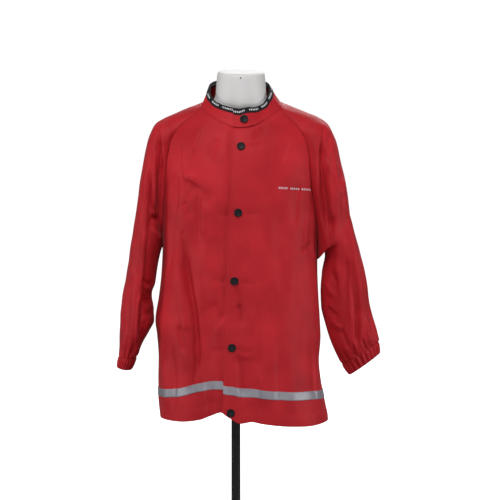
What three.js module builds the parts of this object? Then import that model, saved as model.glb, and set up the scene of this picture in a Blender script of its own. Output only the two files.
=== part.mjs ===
// A child's rain jacket of coated cloth, worn by a limbless display form on a stand.
// Millimetres, +Z up, the front faces -Y, and +X is the wearer's left. The origin is the
// centre of the stand's base on the floor.
import * as THREE from "three";

// Driving sizes
const JACKET_X = 10; // the jacket and form hang this far to the wearer's left of the pole
const CLOTH = 1.5; // wall of the coated cloth
const SEAM_GAP = 0.3;
const NECK_SEAM_GAP = 1;
const SQUARENESS = 2.2; // 2 is an ellipse, and more is boxier
const SNAP_RADIUS = 7.6;
const SNAP_SPACING_FROM_EDGE = 14.5;
const PLACKET_UNDERLAP = 17; // how far the right front runs on under the snaps
const UNDERLAP_DIP = 3.9; // how far it lies in, under the left front and clear of it
const COLLAR_CLOTH = 1.8;
const BINDING_WIDTH = 8.8;
const BINDING_CLOTH = 1;
const BINDING_GAP = 0.8;
const TAPE_WIDTH = 15.6;
const TAPE_CLOTH = 1;
const HEM_TURN_UP = 21;
const HEM_TURN_UP_EXTRA = 0.8; // the turned-up layer makes the hem this much thicker
const CUFF_GATHERS = 12;

// The worn body, by height: half widths to each side and half depths to front and back
const BODY = [
  { z: 180, left: 167, right: 152, front: 114, back: 112 },
  { z: 211, left: 165, right: 154, front: 113, back: 112 },
  { z: 248, left: 158, right: 158, front: 112, back: 111 },
  { z: 280, left: 152, right: 158, front: 111, back: 110 },
  { z: 320, left: 148, right: 157, front: 110, back: 109 },
  { z: 366, left: 151, right: 160, front: 108, back: 108 },
  { z: 392, left: 150, right: 163, front: 107, back: 107 },
  { z: 440, left: 147, right: 156, front: 105, back: 105 },
  { z: 486, left: 145, right: 151, front: 104, back: 104 },
  { z: 535, left: 145, right: 149, front: 102, back: 102 },
  { z: 602, left: 145, right: 149, front: 101, back: 100 },
  { z: 640, left: 144, right: 150, front: 99, back: 99 },
  { z: 690, left: 143, right: 152, front: 93, back: 97 },
  { z: 725, left: 139, right: 150, front: 85, back: 93 },
  { z: 747, left: 130, right: 141, front: 76, back: 88 },
  { z: 762, left: 119, right: 128, front: 67, back: 83 },
  { z: 777, left: 105, right: 109, front: 57, back: 77 },
  { z: 795, left: 89, right: 89, front: 42, back: 70 },
  { z: 815, left: 80, right: 80, front: 30, back: 63 },
];

// The raglan seams, by share of the way from underarm to neck: degrees round the body from
// the front centre and from the back centre
const RAGLAN = [
  { share: 0, front: 90, back: 90 },
  { share: 0.15, front: 80, back: 81 },
  { share: 0.27, front: 73.5, back: 75 },
  { share: 0.42, front: 68, back: 69 },
  { share: 0.6, front: 63.5, back: 64 },
  { share: 0.74, front: 62, back: 61 },
  { share: 0.88, front: 60, back: 57 },
  { share: 1, front: 56, back: 50 },
];
const FRONT_NECK_Z = 795; // where the front raglan seam meets the collar
const BACK_NECK_Z = 813;
const CENTRE_FRONT_NECK_Z = 757;
const CENTRE_BACK_NECK_Z = 808;
const NECK_HALF_WIDTH = 75;

// The hem's height by place across the front and across the back, and the reflective tape's height
// above it
const FRONT_HEM = [
  { x: -160, z: 209, tape: 40 },
  { x: -116, z: 210, tape: 46 },
  { x: -78, z: 216, tape: 52 },
  { x: -53, z: 226, tape: 48 },
  { x: -38, z: 231, tape: 43 },
  { x: -24, z: 223, tape: 45 },
  { x: 0, z: 211, tape: 49 },
  { x: 20, z: 214, tape: 46 },
  { x: 40, z: 210, tape: 47 },
  { x: 93, z: 203, tape: 49 },
  { x: 131, z: 201, tape: 49 },
  { x: 168, z: 204, tape: 42 },
];
const BACK_HEM = [
  { x: -160, z: 209, tape: 40 },
  { x: -90, z: 201, tape: 47 },
  { x: -30, z: 207, tape: 46 },
  { x: 40, z: 200, tape: 48 },
  { x: 110, z: 203, tape: 47 },
  { x: 168, z: 204, tape: 42 },
];

// The line that the snaps follow down the front, and the heights of the snaps
const SNAP_LINE = [
  { z: 200, x: -19 },
  { z: 342, x: -16.5 },
  { z: 465, x: -12 },
  { z: 598, x: -5 },
  { z: 722, x: 0.5 },
  { z: 757, x: 3 },
];
const BODY_SNAP_Z = [722, 600, 474, 351, 231];
const COLLAR_SNAP = { turn: -6, share: 0.44 };

// Sleeve sections from cuff to neck. A closed section has its inner edge at ix, iz. From the
// underarm up it is open, and its edges lie on the raglan seams at heights fz and bz. The outer
// edge is at ox, oz, and depth is the half depth from front to back.
const SLEEVES = {
  right: {
    side: -1,
    closed: [
      { ix: 199, iz: 322, ox: 233, oz: 325, depth: 38 },
      { ix: 190, iz: 345, ox: 232, oz: 347, depth: 44 },
      { ix: 176, iz: 370, ox: 231, oz: 373, depth: 48 },
      { ix: 166, iz: 392, ox: 229, oz: 394, depth: 50 },
      { ix: 166, iz: 413, ox: 227, oz: 414, depth: 51 },
      { ix: 170, iz: 441, ox: 224, oz: 443, depth: 53 },
      { ix: 163, iz: 464, ox: 219, oz: 468, depth: 55 },
      { ix: 160, iz: 486, ox: 215, oz: 494, depth: 57 },
      { ix: 156, iz: 509, ox: 211, oz: 523, depth: 59 },
      { ix: 152, iz: 526, ox: 206, oz: 556, depth: 60 },
    ],
    underarmZ: 534,
    open: [
      { fz: 534, bz: 534, ox: 201, oz: 588, depth: 61 },
      { fz: 578, bz: 580, ox: 196, oz: 622, depth: 61 },
      { fz: 612, bz: 617, ox: 191, oz: 655, depth: 60 },
      { fz: 644, bz: 652, ox: 186, oz: 686, depth: 58 },
      { fz: 674, bz: 686, ox: 180, oz: 717, depth: 55 },
      { fz: 702, bz: 718, ox: 173, oz: 744, depth: 52 },
      { fz: 726, bz: 745, ox: 163, oz: 764, depth: 50 },
      { fz: 746, bz: 768, ox: 148, oz: 774, depth: 48 },
      { fz: 762, bz: 785, ox: 124, oz: 785, depth: 40 },
      { fz: 778, bz: 800, ox: 97, oz: 796, depth: 37 },
      { fz: 795, bz: 813, ox: 73, oz: 804, depth: 35 },
    ],
    cuffEnd: { ix: 209, iz: 298, ox: 237, oz: 304, depth: 33 },
  },
  left: {
    side: 1,
    closed: [
      { ix: 192, iz: 309, ox: 262, oz: 352, depth: 23 },
      { ix: 181, iz: 329, ox: 261, oz: 362, depth: 28 },
      { ix: 170, iz: 354, ox: 258, oz: 374, depth: 31 },
      { ix: 160, iz: 386, ox: 252, oz: 394, depth: 33 },
      { ix: 152, iz: 420, ox: 244, oz: 424, depth: 35 },
      { ix: 151, iz: 450, ox: 240, oz: 453, depth: 38 },
      { ix: 154, iz: 486, ox: 233, oz: 492, depth: 43 },
      { ix: 159, iz: 514, ox: 226, oz: 522, depth: 48 },
      { ix: 157, iz: 530, ox: 220, oz: 545, depth: 52 },
      { ix: 151, iz: 523, ox: 213, oz: 567, depth: 54 },
    ],
    underarmZ: 508,
    open: [
      { fz: 508, bz: 508, ox: 206, oz: 593, depth: 56 },
      { fz: 564, bz: 566, ox: 202, oz: 624, depth: 57 },
      { fz: 612, bz: 617, ox: 197, oz: 658, depth: 57 },
      { fz: 644, bz: 652, ox: 189, oz: 689, depth: 56 },
      { fz: 674, bz: 686, ox: 183, oz: 717, depth: 54 },
      { fz: 702, bz: 718, ox: 176, oz: 742, depth: 52 },
      { fz: 726, bz: 745, ox: 166, oz: 762, depth: 50 },
      { fz: 746, bz: 768, ox: 151, oz: 775, depth: 48 },
      { fz: 762, bz: 785, ox: 127, oz: 786, depth: 40 },
      { fz: 778, bz: 800, ox: 101, oz: 796, depth: 37 },
      { fz: 795, bz: 813, ox: 75.5, oz: 805, depth: 35 },
    ],
    cuffEnd: { ix: 207, iz: 288, ox: 265, oz: 330, depth: 17 },
  },
};

// The collar's top edge by turn round the neck, in degrees from the front centre
const COLLAR_TOP = [
  { turn: 0, z: 791 },
  { turn: 20, z: 795 },
  { turn: 39, z: 801 },
  { turn: 52, z: 806 },
  { turn: 62, z: 813 },
  { turn: 78, z: 823 },
  { turn: 90, z: 832 },
  { turn: 110, z: 842 },
  { turn: 135, z: 848 },
  { turn: 180, z: 850 },
];
const COLLAR_TOP_RING = { x: -3, halfWidth: 57.5, front: 58, back: 60 };
const COLLAR_DROOP = 4; // how far the over end's top edge sinks beside the front
const COLLAR_START = -20; // the under end, past the front centre
const COLLAR_END = 370; // the over end lies on it
const COLLAR_LAP_FROM = 318;
const COLLAR_LAP = 5.8; // how far out the over end lies

// Folds that hang in the cloth, seen from the front or the back: each runs through its points
// and is a trough where its depth is below 0
const FOLDS = {
  front: [
    { points: [[-131, 735], [-128, 640], [-126, 545]], width: 13, depth: 4 },
    { points: [[-116, 748], [-114, 690], [-108, 640]], width: 10, depth: -4 },
    { points: [[-110, 575], [-97, 450], [-84, 317], [-80, 215]], width: 13, depth: -7 },
    { points: [[-132, 500], [-118, 400], [-106, 300]], width: 14, depth: 4 },
    { points: [[-62, 470], [-50, 390], [-44, 330]], width: 24, depth: -6 },
    { points: [[46, 762], [34, 742], [22, 722]], width: 9, depth: -3 },
    { points: [[70, 700], [75, 560], [78, 420]], width: 18, depth: -5 },
    { points: [[112, 500], [117, 400], [124, 300]], width: 16, depth: -4 },
    { points: [[-4, 325], [12, 270], [20, 225]], width: 15, depth: -5 },
    { points: [[44, 390], [44, 300], [46, 215]], width: 20, depth: 4 },
  ],
  back: [
    { points: [[-60, 700], [-92, 560], [-100, 400], [-98, 215]], width: 17, depth: -7 },
    { points: [[-40, 560], [-46, 400], [-50, 215]], width: 18, depth: 5 },
    { points: [[4, 640], [0, 440], [-6, 215]], width: 18, depth: -5 },
    { points: [[58, 700], [86, 560], [98, 400], [104, 215]], width: 17, depth: -7 },
    { points: [[48, 500], [52, 360], [56, 215]], width: 18, depth: 4 },
  ],
  right: [
    { points: [[-171, 735], [-180, 593], [-190, 460], [-198, 370], [-206, 325]], width: 8, depth: 5 },
    { points: [[-158, 735], [-168, 593], [-177, 480], [-184, 430]], width: 8, depth: -6 },
    { points: [[-184, 440], [-176, 420], [-164, 400]], width: 8, depth: -4 },
  ],
  left: [
    { points: [[186, 690], [205, 574], [213, 505], [220, 458], [228, 351]], width: 9, depth: 5 },
    { points: [[155, 750], [160, 680], [164, 600], [170, 545]], width: 9, depth: -6 },
    { points: [[172, 716], [178, 640], [184, 574]], width: 9, depth: 4 },
  ],
};

// The display form, by height: half width and half depths to front and back
const FORM = [
  { z: 300, width: 114, front: 74, back: 77 },
  { z: 330, width: 119, front: 78, back: 82 },
  { z: 400, width: 119, front: 80, back: 84 },
  { z: 480, width: 109, front: 80, back: 77 },
  { z: 560, width: 112, front: 81, back: 78 },
  { z: 640, width: 121, front: 83, back: 84 },
  { z: 695, width: 131, front: 76, back: 84 },
  { z: 730, width: 141, front: 58, back: 70 },
  { z: 750, width: 146, front: 44, back: 56 },
];
// The neck rises out of the shoulders, and its top is cut on a slope
const FORM_NECK = [
  { z: 799, width: 71, front: 45, back: 48, square: 1.4 },
  { z: 807, width: 55, front: 46, back: 48, square: 1.7 },
  { z: 820, width: 48.5, front: 46, back: 47, square: 2 },
  { z: 842, width: 46.5, front: 46, back: 46, square: 2 },
  { z: 856, width: 45, front: 46, back: 45, square: 2 },
  { z: 862.5, width: 43.5, front: 44.5, back: 43.5, square: 2 },
  { z: 863.5, width: 40.5, front: 41.5, back: 40.5, square: 2 },
];
const NECK_TOP_SLOPE = 0.18; // the fall of the neck's top towards the front
// The shoulders follow the sleeves' outer edge, by row of the sleeve, for the cloth to rest on
const FORM_SHOULDER = [
  { row: 6, front: 36, back: 47, square: 1.9 },
  { row: 7, front: 36, back: 45, square: 1.6 },
  { row: 8, front: 40, back: 46, square: 1.3 },
  { row: 9, front: 43, back: 47, square: 1.3 },
];
const SHOULDER_CLEARANCE = CLOTH + 0.7;
const SHOULDER_INSET = 4;
const POLE_RADIUS = 8.6;
const POLE_FLANGE = { radius: 32, height: 6 };
const BASE = { radius: 140, height: 6, bevel: 1.5 };

// How finely the pieces are divided
const FORM_COLUMNS = 32;
const GRID = { frontColumns: 13, backColumns: 22, lowerRows: 10, sleeveColumns: 22, frontNeckColumns: 26 };

const COLOURS = {
  cloth: { color: 0xb8202c, roughness: 0.5, metalness: 0 },
  binding: { color: 0x1b1b1f, roughness: 0.7, metalness: 0 },
  reflective: { color: 0x8c8d99, roughness: 0.45, metalness: 0.2 },
  snap: { color: 0x151617, roughness: 0.45, metalness: 0 },
  form: { color: 0xe6e3e1, roughness: 0.55, metalness: 0 },
  stand: { color: 0x1c1c1e, roughness: 0.4, metalness: 0.6 },
};

const radians = THREE.MathUtils.degToRad;
const smoothstep = THREE.MathUtils.smoothstep;

// One column of a table, read at a place between its rows on a curve that doesn't overshoot
function look(table, place, column, at) {
  const last = table.length - 1;
  if (at <= table[0][place]) return table[0][column];
  if (at >= table[last][place]) return table[last][column];
  let i = 0;
  while (table[i + 1][place] < at) i++;
  const slope = (k) =>
    (table[k + 1][column] - table[k][column]) / (table[k + 1][place] - table[k][place]);
  const tangent = (k) => {
    if (k === 0) return slope(0);
    if (k === last) return slope(last - 1);
    const before = slope(k - 1);
    const after = slope(k);
    return before * after <= 0 ? 0 : (2 * before * after) / (before + after);
  };
  const span = table[i + 1][place] - table[i][place];
  const t = (at - table[i][place]) / span;
  const rise = table[i + 1][column] - table[i][column];
  return (
    table[i][column] +
    rise * t * t * (3 - 2 * t) +
    span * t * (1 - t) * ((1 - t) * tangent(i) - t * tangent(i + 1))
  );
}

// A column of a sleeve's table, read at a row number that may lie between two rows
function lookRow(rows, column, at) {
  const numbered = rows.map((row, number) => ({ ...row, number }));
  return look(numbered, "number", column, at);
}

// How far the folds move the cloth out at a place seen from the front or the back
function foldShift(folds, x, z) {
  let shift = 0;
  for (const fold of folds) {
    let nearest = Infinity;
    let share = 0;
    fold.points.slice(1).forEach(([x2, z2], k) => {
      const [x1, z1] = fold.points[k];
      const length2 = (x2 - x1) ** 2 + (z2 - z1) ** 2;
      const t = THREE.MathUtils.clamp(((x - x1) * (x2 - x1) + (z - z1) * (z2 - z1)) / length2, 0, 1);
      const distance = Math.hypot(x - x1 - t * (x2 - x1), z - z1 - t * (z2 - z1));
      if (distance < nearest) {
        nearest = distance;
        share = (k + t) / (fold.points.length - 1);
      }
    });
    const fade = Math.min(1, 6 * share + 0.2, 6 * (1 - share) + 0.2);
    shift += fold.depth * fade * Math.exp(-((nearest / fold.width) ** 2));
  }
  return shift;
}

// A point of the body's outer surface. The angle runs from the front centre to the wearer's left.
function bodyPoint(angle, z, extra = 0) {
  const power = 2 / SQUARENESS;
  const sine = Math.sin(angle);
  const cosine = Math.cos(angle);
  const halfWidth = look(BODY, "z", sine < 0 ? "right" : "left", z);
  const halfDepth = look(BODY, "z", cosine < 0 ? "back" : "front", z);
  const x = Math.sign(sine) * halfWidth * Math.abs(sine) ** power;
  const y = -Math.sign(cosine) * halfDepth * Math.abs(cosine) ** power;
  const out = new THREE.Vector3(x / halfWidth ** 2, y / halfDepth ** 2, 0).normalize();
  const facing = smoothstep(Math.abs(cosine), 0, 0.35);
  const shift = facing * foldShift(cosine < 0 ? FOLDS.back : FOLDS.front, x, z);
  return new THREE.Vector3(x, y, z).addScaledVector(out, shift + extra);
}

// The angle round the front at which the body has a given x
function frontAngle(x, z) {
  const halfWidth = look(BODY, "z", x < 0 ? "right" : "left", z);
  return Math.sign(x) * Math.asin(Math.min(1, (Math.abs(x) / halfWidth) ** (SQUARENESS / 2)));
}

// The angle of a raglan seam at a height, from the front centre or from the back centre
function seamAngle(sleeve, face, z) {
  const top = face === "front" ? FRONT_NECK_Z : BACK_NECK_Z;
  const share = (z - sleeve.underarmZ) / (top - sleeve.underarmZ);
  return radians(look(RAGLAN, "share", face, share));
}

// A closed wall from a grid of points on its outer face: rows go up, columns go round
// anticlockwise seen from above, and thickness is a number or a function of the row
function wallGeometry(rows, thickness) {
  const rowCount = rows.length;
  const columnCount = rows[0].length;
  const wallAt = (i) => (typeof thickness === "function" ? thickness(i) : thickness);
  const normal = (i, j) => {
    const across = rows[i][Math.min(j + 1, columnCount - 1)].clone().sub(rows[i][Math.max(j - 1, 0)]);
    const up = rows[Math.min(i + 1, rowCount - 1)][j].clone().sub(rows[Math.max(i - 1, 0)][j]);
    return across.cross(up).normalize();
  };
  const positions = [];
  rows.forEach((row) => row.forEach((p) => positions.push(p.x, p.y, p.z)));
  rows.forEach((row, i) =>
    row.forEach((p, j) => {
      const q = p.clone().addScaledVector(normal(i, j), -wallAt(i));
      positions.push(q.x, q.y, q.z);
    }),
  );
  const indices = [];
  const face = (a, b, c, d) => indices.push(a, b, c, a, c, d);
  const outer = (i, j) => i * columnCount + j;
  const inner = (i, j) => rowCount * columnCount + outer(i, j);
  for (let i = 0; i < rowCount - 1; i++)
    for (let j = 0; j < columnCount - 1; j++) {
      face(outer(i, j), outer(i, j + 1), outer(i + 1, j + 1), outer(i + 1, j));
      face(inner(i, j), inner(i + 1, j), inner(i + 1, j + 1), inner(i, j + 1));
    }
  for (let j = 0; j < columnCount - 1; j++) {
    const top = rowCount - 1;
    face(outer(0, j), inner(0, j), inner(0, j + 1), outer(0, j + 1));
    face(outer(top, j), outer(top, j + 1), inner(top, j + 1), inner(top, j));
  }
  for (let i = 0; i < rowCount - 1; i++) {
    const end = columnCount - 1;
    face(outer(i, 0), outer(i + 1, 0), inner(i + 1, 0), inner(i, 0));
    face(outer(i, end), inner(i, end), inner(i + 1, end), outer(i + 1, end));
  }
  return geometryOf(positions, indices);
}

// A closed solid through rings of points that go up, with both ends filled
function loftGeometry(rings) {
  const count = rings[0].length;
  const positions = [];
  rings.forEach((ring) => ring.forEach((p) => positions.push(p.x, p.y, p.z)));
  const indices = [];
  for (let i = 0; i < rings.length - 1; i++)
    for (let j = 0; j < count; j++) {
      const a = i * count + j;
      const b = i * count + ((j + 1) % count);
      indices.push(a, b, b + count, a, b + count, a + count);
    }
  const ends = [
    [rings[0], 0, true],
    [rings[rings.length - 1], (rings.length - 1) * count, false],
  ];
  for (const [ring, start, down] of ends) {
    const centre = ring.reduce((sum, p) => sum.add(p), new THREE.Vector3()).divideScalar(count);
    const hub = positions.length / 3;
    positions.push(centre.x, centre.y, centre.z);
    for (let j = 0; j < count; j++) {
      const a = start + j;
      const b = start + ((j + 1) % count);
      indices.push(hub, ...(down ? [b, a] : [a, b]));
    }
  }
  return geometryOf(positions, indices);
}

// A closed solid swept along sections that are closed outlines of points, with its ends filled
function sweepGeometry(sections) {
  const count = sections[0].length;
  const positions = [];
  sections.forEach((section) => section.forEach((p) => positions.push(p.x, p.y, p.z)));
  const indices = [];
  for (let i = 0; i < sections.length - 1; i++)
    for (let j = 0; j < count; j++) {
      const a = i * count + j;
      const b = i * count + ((j + 1) % count);
      indices.push(a, b, b + count, a, b + count, a + count);
    }
  const start = (sections.length - 1) * count;
  // The outline is a channel of two legs and a web, whose ends fill as three strips
  const strips = [
    [0, 1, 6, 7],
    [1, 2, 5, 6],
    [2, 3, 4, 5],
  ];
  for (const [a, b, c, d] of strips) {
    indices.push(a, c, b, a, d, c);
    indices.push(start + a, start + b, start + c, start + a, start + c, start + d);
  }
  return geometryOf(positions, indices);
}

function geometryOf(positions, indices) {
  const geometry = new THREE.BufferGeometry();
  geometry.setAttribute("position", new THREE.Float32BufferAttribute(positions, 3));
  geometry.setIndex(indices);
  geometry.computeVertexNormals();
  return geometry;
}

function piece(name, geometry, colour) {
  const mesh = new THREE.Mesh(geometry, new THREE.MeshStandardMaterial(COLOURS[colour]));
  mesh.name = name;
  return mesh;
}

const spread = (count, from, to) =>
  Array.from({ length: count + 1 }, (_, k) => from + ((to - from) * k) / count);

// Heights up a body panel: the turned-up hem and the reflective tape have rows of their own, and
// above the underarm the rows meet the sleeve's, whose shares of the seam are given
function bodyHeights(hemZ, tapeRise, underarmZ, shares, neckZ) {
  const low = [0, HEM_TURN_UP, tapeRise, tapeRise + TAPE_WIDTH].map((rise) => hemZ + rise);
  const middle = spread(GRID.lowerRows, low.pop(), underarmZ);
  return [...low, ...middle, ...shares.slice(1).map((share) => underarmZ + share * (neckZ - underarmZ))];
}
const TAPE_ROWS = [2, 3];

// The heights of a sleeve's rows on a raglan seam, as shares of the seam's height
function seamShares(sleeve, face) {
  const [column, top] = face === "front" ? ["fz", FRONT_NECK_Z] : ["bz", BACK_NECK_Z];
  return sleeve.open.map((row) => (row[column] - sleeve.underarmZ) / (top - sleeve.underarmZ));
}
const hemWall = (i) => (i < 1 ? CLOTH + HEM_TURN_UP_EXTRA : CLOTH);

const placketEdgeX = (z) => look(SNAP_LINE, "z", "x", z) - SNAP_SPACING_FROM_EDGE;
const underlapX = (z) => look(SNAP_LINE, "z", "x", z) + PLACKET_UNDERLAP;

// The front neckline dips in a curve between the raglan seams
function frontNeckZ(x) {
  const rise = FRONT_NECK_Z - CENTRE_FRONT_NECK_Z;
  return CENTRE_FRONT_NECK_Z + rise * Math.min(1, Math.abs(x) / NECK_HALF_WIDTH) ** 1.9;
}

// One front. The left one carries the snaps and lies on the right one, which dips in under it.
function frontRows(sideName) {
  const sleeve = SLEEVES[sideName];
  const isOver = sideName === "left";
  const columns = spread(GRID.frontColumns, 0, 1);
  const place = (share, z) => {
    const seam = sleeve.side * (seamAngle(sleeve, "front", z) - seamInset(z, "front"));
    const opening = frontAngle(isOver ? placketEdgeX(z) : underlapX(z), z);
    const [from, to] = isOver ? [opening, seam] : [seam, opening];
    return from + (to - from) * share;
  };
  const shares = seamShares(sleeve, "front");
  const columnLines = columns.map((share) => {
    const hemZ = edgeHeight((z) => place(share, z), (x) => look(FRONT_HEM, "x", "z", x), BODY[1].z);
    const tapeRise = look(FRONT_HEM, "x", "tape", bodyPoint(place(share, hemZ), hemZ).x);
    const neckZ = edgeHeight((z) => place(share, z), frontNeckZ, CENTRE_FRONT_NECK_Z);
    return bodyHeights(hemZ, tapeRise, sleeve.underarmZ, shares, neckZ).map((z) => {
      const angle = place(share, z);
      const x = bodyPoint(angle, z).x;
      const dip = isOver ? 0 : -UNDERLAP_DIP * smoothstep(x, placketEdgeX(z) - 30, placketEdgeX(z) - 6);
      return bodyPoint(angle, z, dip);
    });
  });
  return columnLines[0].map((_, i) => columnLines.map((line) => line[i]));
}

// Half of the seam's gap, as an angle round the body
const seamInset = (z, face) => (0.6 * SEAM_GAP) / look(BODY, "z", face, z);

// The height at which a column of a panel, whose angle depends on the height, meets an edge whose
// height depends on x
function edgeHeight(place, edgeZ, start) {
  let z = start;
  for (let step = 0; step < 12; step++) z = (z + edgeZ(bodyPoint(place(z), z).x)) / 2;
  return z;
}

function backRows() {
  const { left, right } = SLEEVES;
  const leftShares = seamShares(left, "back");
  const rightShares = seamShares(right, "back");
  const columnLines = spread(GRID.backColumns, 0, 1).map((share) => {
    const place = (z) => {
      const start = Math.PI - seamAngle(left, "back", z) + seamInset(z, "back");
      const end = Math.PI + seamAngle(right, "back", z) - seamInset(z, "back");
      return start + (end - start) * share;
    };
    const hemZ = edgeHeight(place, (x) => look(BACK_HEM, "x", "z", x), BODY[1].z);
    const underarmZ = left.underarmZ + (right.underarmZ - left.underarmZ) * share;
    const shares = leftShares.map((low, k) => low + (rightShares[k] - low) * share);
    const dip = (BACK_NECK_Z - CENTRE_BACK_NECK_Z) * (1 - (2 * share - 1) ** 2);
    const tapeRise = look(BACK_HEM, "x", "tape", bodyPoint(place(hemZ), hemZ).x);
    const heights = bodyHeights(hemZ, tapeRise, underarmZ, shares, BACK_NECK_Z - dip);
    return heights.map((z) => bodyPoint(place(z), z));
  });
  return columnLines[0].map((_, i) => columnLines.map((line) => line[i]));
}

// An arc of an ellipse round a sleeve, from its front edge over the outside to its back edge
function sleeveArc(sleeve, front, back, outer, depth, columnCount) {
  const middle = front.clone().add(back).multiplyScalar(0.5);
  const chord = back.clone().sub(front);
  const toBack = chord.length() < 1 ? new THREE.Vector3(0, 1, 0) : chord.clone().normalize();
  const halfDepth = Math.max(depth, chord.length() / 2);
  const start = Math.asin(chord.length() / 2 / halfDepth);
  const crown = outer.clone().sub(middle).divideScalar(1 + Math.cos(start));
  const centre = outer.clone().sub(crown);
  const slit = (0.6 * SEAM_GAP) / halfDepth;
  const points = spread(columnCount, start + slit, 2 * Math.PI - start - slit).map((turn) => {
    const p = centre
      .clone()
      .addScaledVector(crown, -Math.cos(turn))
      .addScaledVector(toBack, -halfDepth * Math.sin(turn));
    const out = crown
      .clone()
      .normalize()
      .multiplyScalar(-Math.cos(turn) * halfDepth)
      .addScaledVector(toBack, -Math.sin(turn) * crown.length())
      .normalize();
    const facing = smoothstep(Math.abs(Math.sin(turn)), 0, 0.5) * smoothstep(turn, start, start + 0.5);
    const folds = FOLDS[sleeve.side < 0 ? "right" : "left"];
    return p.addScaledVector(out, facing * foldShift(folds, p.x, p.z));
  });
  return sleeve.side < 0 ? points.reverse() : points;
}

// The section of a sleeve at a row number: negative below the underarm, and up to the neck
function sleeveSection(sleeve, row, columnCount) {
  const { side, closed, open } = sleeve;
  if (row >= 0) {
    const read = (column) => lookRow(open, column, row);
    const front = bodyPoint(side * seamAngle(sleeve, "front", read("fz")), read("fz"));
    const back = bodyPoint(side * (Math.PI - seamAngle(sleeve, "back", read("bz"))), read("bz"));
    const outer = new THREE.Vector3(side * read("ox"), (front.y + back.y) / 2, read("oz"));
    return sleeveArc(sleeve, front, back, outer, read("depth"), columnCount);
  }
  const underarm = { ix: look(BODY, "z", side < 0 ? "right" : "left", sleeve.underarmZ) };
  const rows = [...closed, { ...open[0], ix: underarm.ix, iz: sleeve.underarmZ }];
  const read = (column) => lookRow(rows, column, row + closed.length);
  const inner = new THREE.Vector3(side * read("ix"), 0, read("iz"));
  const outer = new THREE.Vector3(side * read("ox"), 0, read("oz"));
  return sleeveArc(sleeve, inner, inner, outer, read("depth"), columnCount);
}

function sleeveRows(sleeve) {
  const first = -sleeve.closed.length;
  const last = sleeve.open.length - 1;
  return spread(last - first, first, last).map((row) => sleeveSection(sleeve, row, GRID.sleeveColumns));
}

// The elastic casing at the wrist, a ring gathered into waves that deepen towards its edge
function cuffGeometry(sleeve) {
  const columns = 4 * CUFF_GATHERS;
  const top = { ...sleeve.closed[0] };
  const rings = spread(2, 0, 1).map((share) => {
    const down = share;
    const read = (column) => top[column] + (sleeve.cuffEnd[column] - top[column]) * down;
    const inner = new THREE.Vector3(sleeve.side * read("ix"), 0, read("iz"));
    const outer = new THREE.Vector3(sleeve.side * read("ox"), 0, read("oz"));
    const centre = inner.clone().add(outer).multiplyScalar(0.5);
    const axis = sleeveAxis(sleeve);
    const outward = outer.clone().sub(centre);
    return spread(columns, 0, 2 * Math.PI)
      .slice(0, -1)
      .map((turn, k) => {
        const wave = 1 + (k % 4 < 2 ? 1 : -1) * (0.02 + 0.03 * down);
        return centre
          .clone()
          .addScaledVector(outward, -Math.cos(turn) * wave)
          .addScaledVector(new THREE.Vector3(0, sleeve.side, 0), -read("depth") * Math.sin(turn) * wave)
          .addScaledVector(axis, SEAM_GAP * 2);
      });
  });
  return tubeGeometry(rings.reverse(), CLOTH);
}

// The direction in which a sleeve leaves its last section, towards the hand
function sleeveAxis(sleeve) {
  const [end] = sleeve.closed;
  const middle = (s) => new THREE.Vector3((sleeve.side * (s.ix + s.ox)) / 2, 0, (s.iz + s.oz) / 2);
  return middle(sleeve.cuffEnd).sub(middle(end)).normalize();
}

// A closed ring of wall, open at both ends, through rings of points that go up
function tubeGeometry(rings, thickness) {
  const closedRings = rings.map((ring) => [...ring, ring[0]]);
  const count = rings[0].length;
  const inward = closedRings.map((ring, i) => {
    const below = rings[Math.max(i - 1, 0)];
    const above = rings[Math.min(i + 1, rings.length - 1)];
    return rings[i].map((p, j) => {
      const across = ring[j + 1].clone().sub(rings[i][(j + count - 1) % count]);
      const up = above[j].clone().sub(below[j]);
      return p.clone().addScaledVector(across.cross(up).normalize(), -thickness);
    });
  });
  const positions = [];
  [...rings, ...inward].forEach((ring) => ring.forEach((p) => positions.push(p.x, p.y, p.z)));
  const indices = [];
  const face = (a, b, c, d) => indices.push(a, b, c, a, c, d);
  const outer = (i, j) => i * count + (j % count);
  const inner = (i, j) => rings.length * count + outer(i, j);
  const top = rings.length - 1;
  for (let j = 0; j < count; j++) {
    for (let i = 0; i < top; i++) {
      face(outer(i, j), outer(i, j + 1), outer(i + 1, j + 1), outer(i + 1, j));
      face(inner(i, j), inner(i + 1, j), inner(i + 1, j + 1), inner(i, j + 1));
    }
    face(outer(0, j), inner(0, j), inner(0, j + 1), outer(0, j + 1));
    face(outer(top, j), outer(top, j + 1), inner(top, j + 1), inner(top, j));
  }
  return geometryOf(positions, indices);
}

const panels = {
  front_right: frontRows("right"),
  front_left: frontRows("left"),
  back: backRows(),
  sleeve_right: sleeveRows(SLEEVES.right),
  sleeve_left: sleeveRows(SLEEVES.left),
};

// The neckline seam as a table by turn round the neck: 0 is the front centre, 90 the wearer's right
const neckAngle = (name) => seamAngle(SLEEVES[name], "front", FRONT_NECK_Z);
const frontNeckline = spread(GRID.frontNeckColumns, -neckAngle("right"), neckAngle("left")).map((angle) =>
  bodyPoint(angle, edgeHeight(() => angle, frontNeckZ, CENTRE_FRONT_NECK_Z)),
);
const NECKLINE = ["sleeve_right", "back", "sleeve_left"]
  .flatMap((name) => panels[name][panels[name].length - 1].filter((_, column) => column % 2 === 0))
  .concat(frontNeckline)
  .map((p) => ({
    turn: (THREE.MathUtils.radToDeg(Math.atan2(-p.x, -p.y)) + 360) % 360,
    x: p.x,
    y: p.y,
    z: p.z,
  }))
  .sort((a, b) => a.turn - b.turn)
  .filter((p, k, all) => k === 0 || p.turn - all[k - 1].turn > 2);
NECKLINE.push({ ...NECKLINE[0], turn: NECKLINE[0].turn + 360 });

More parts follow.
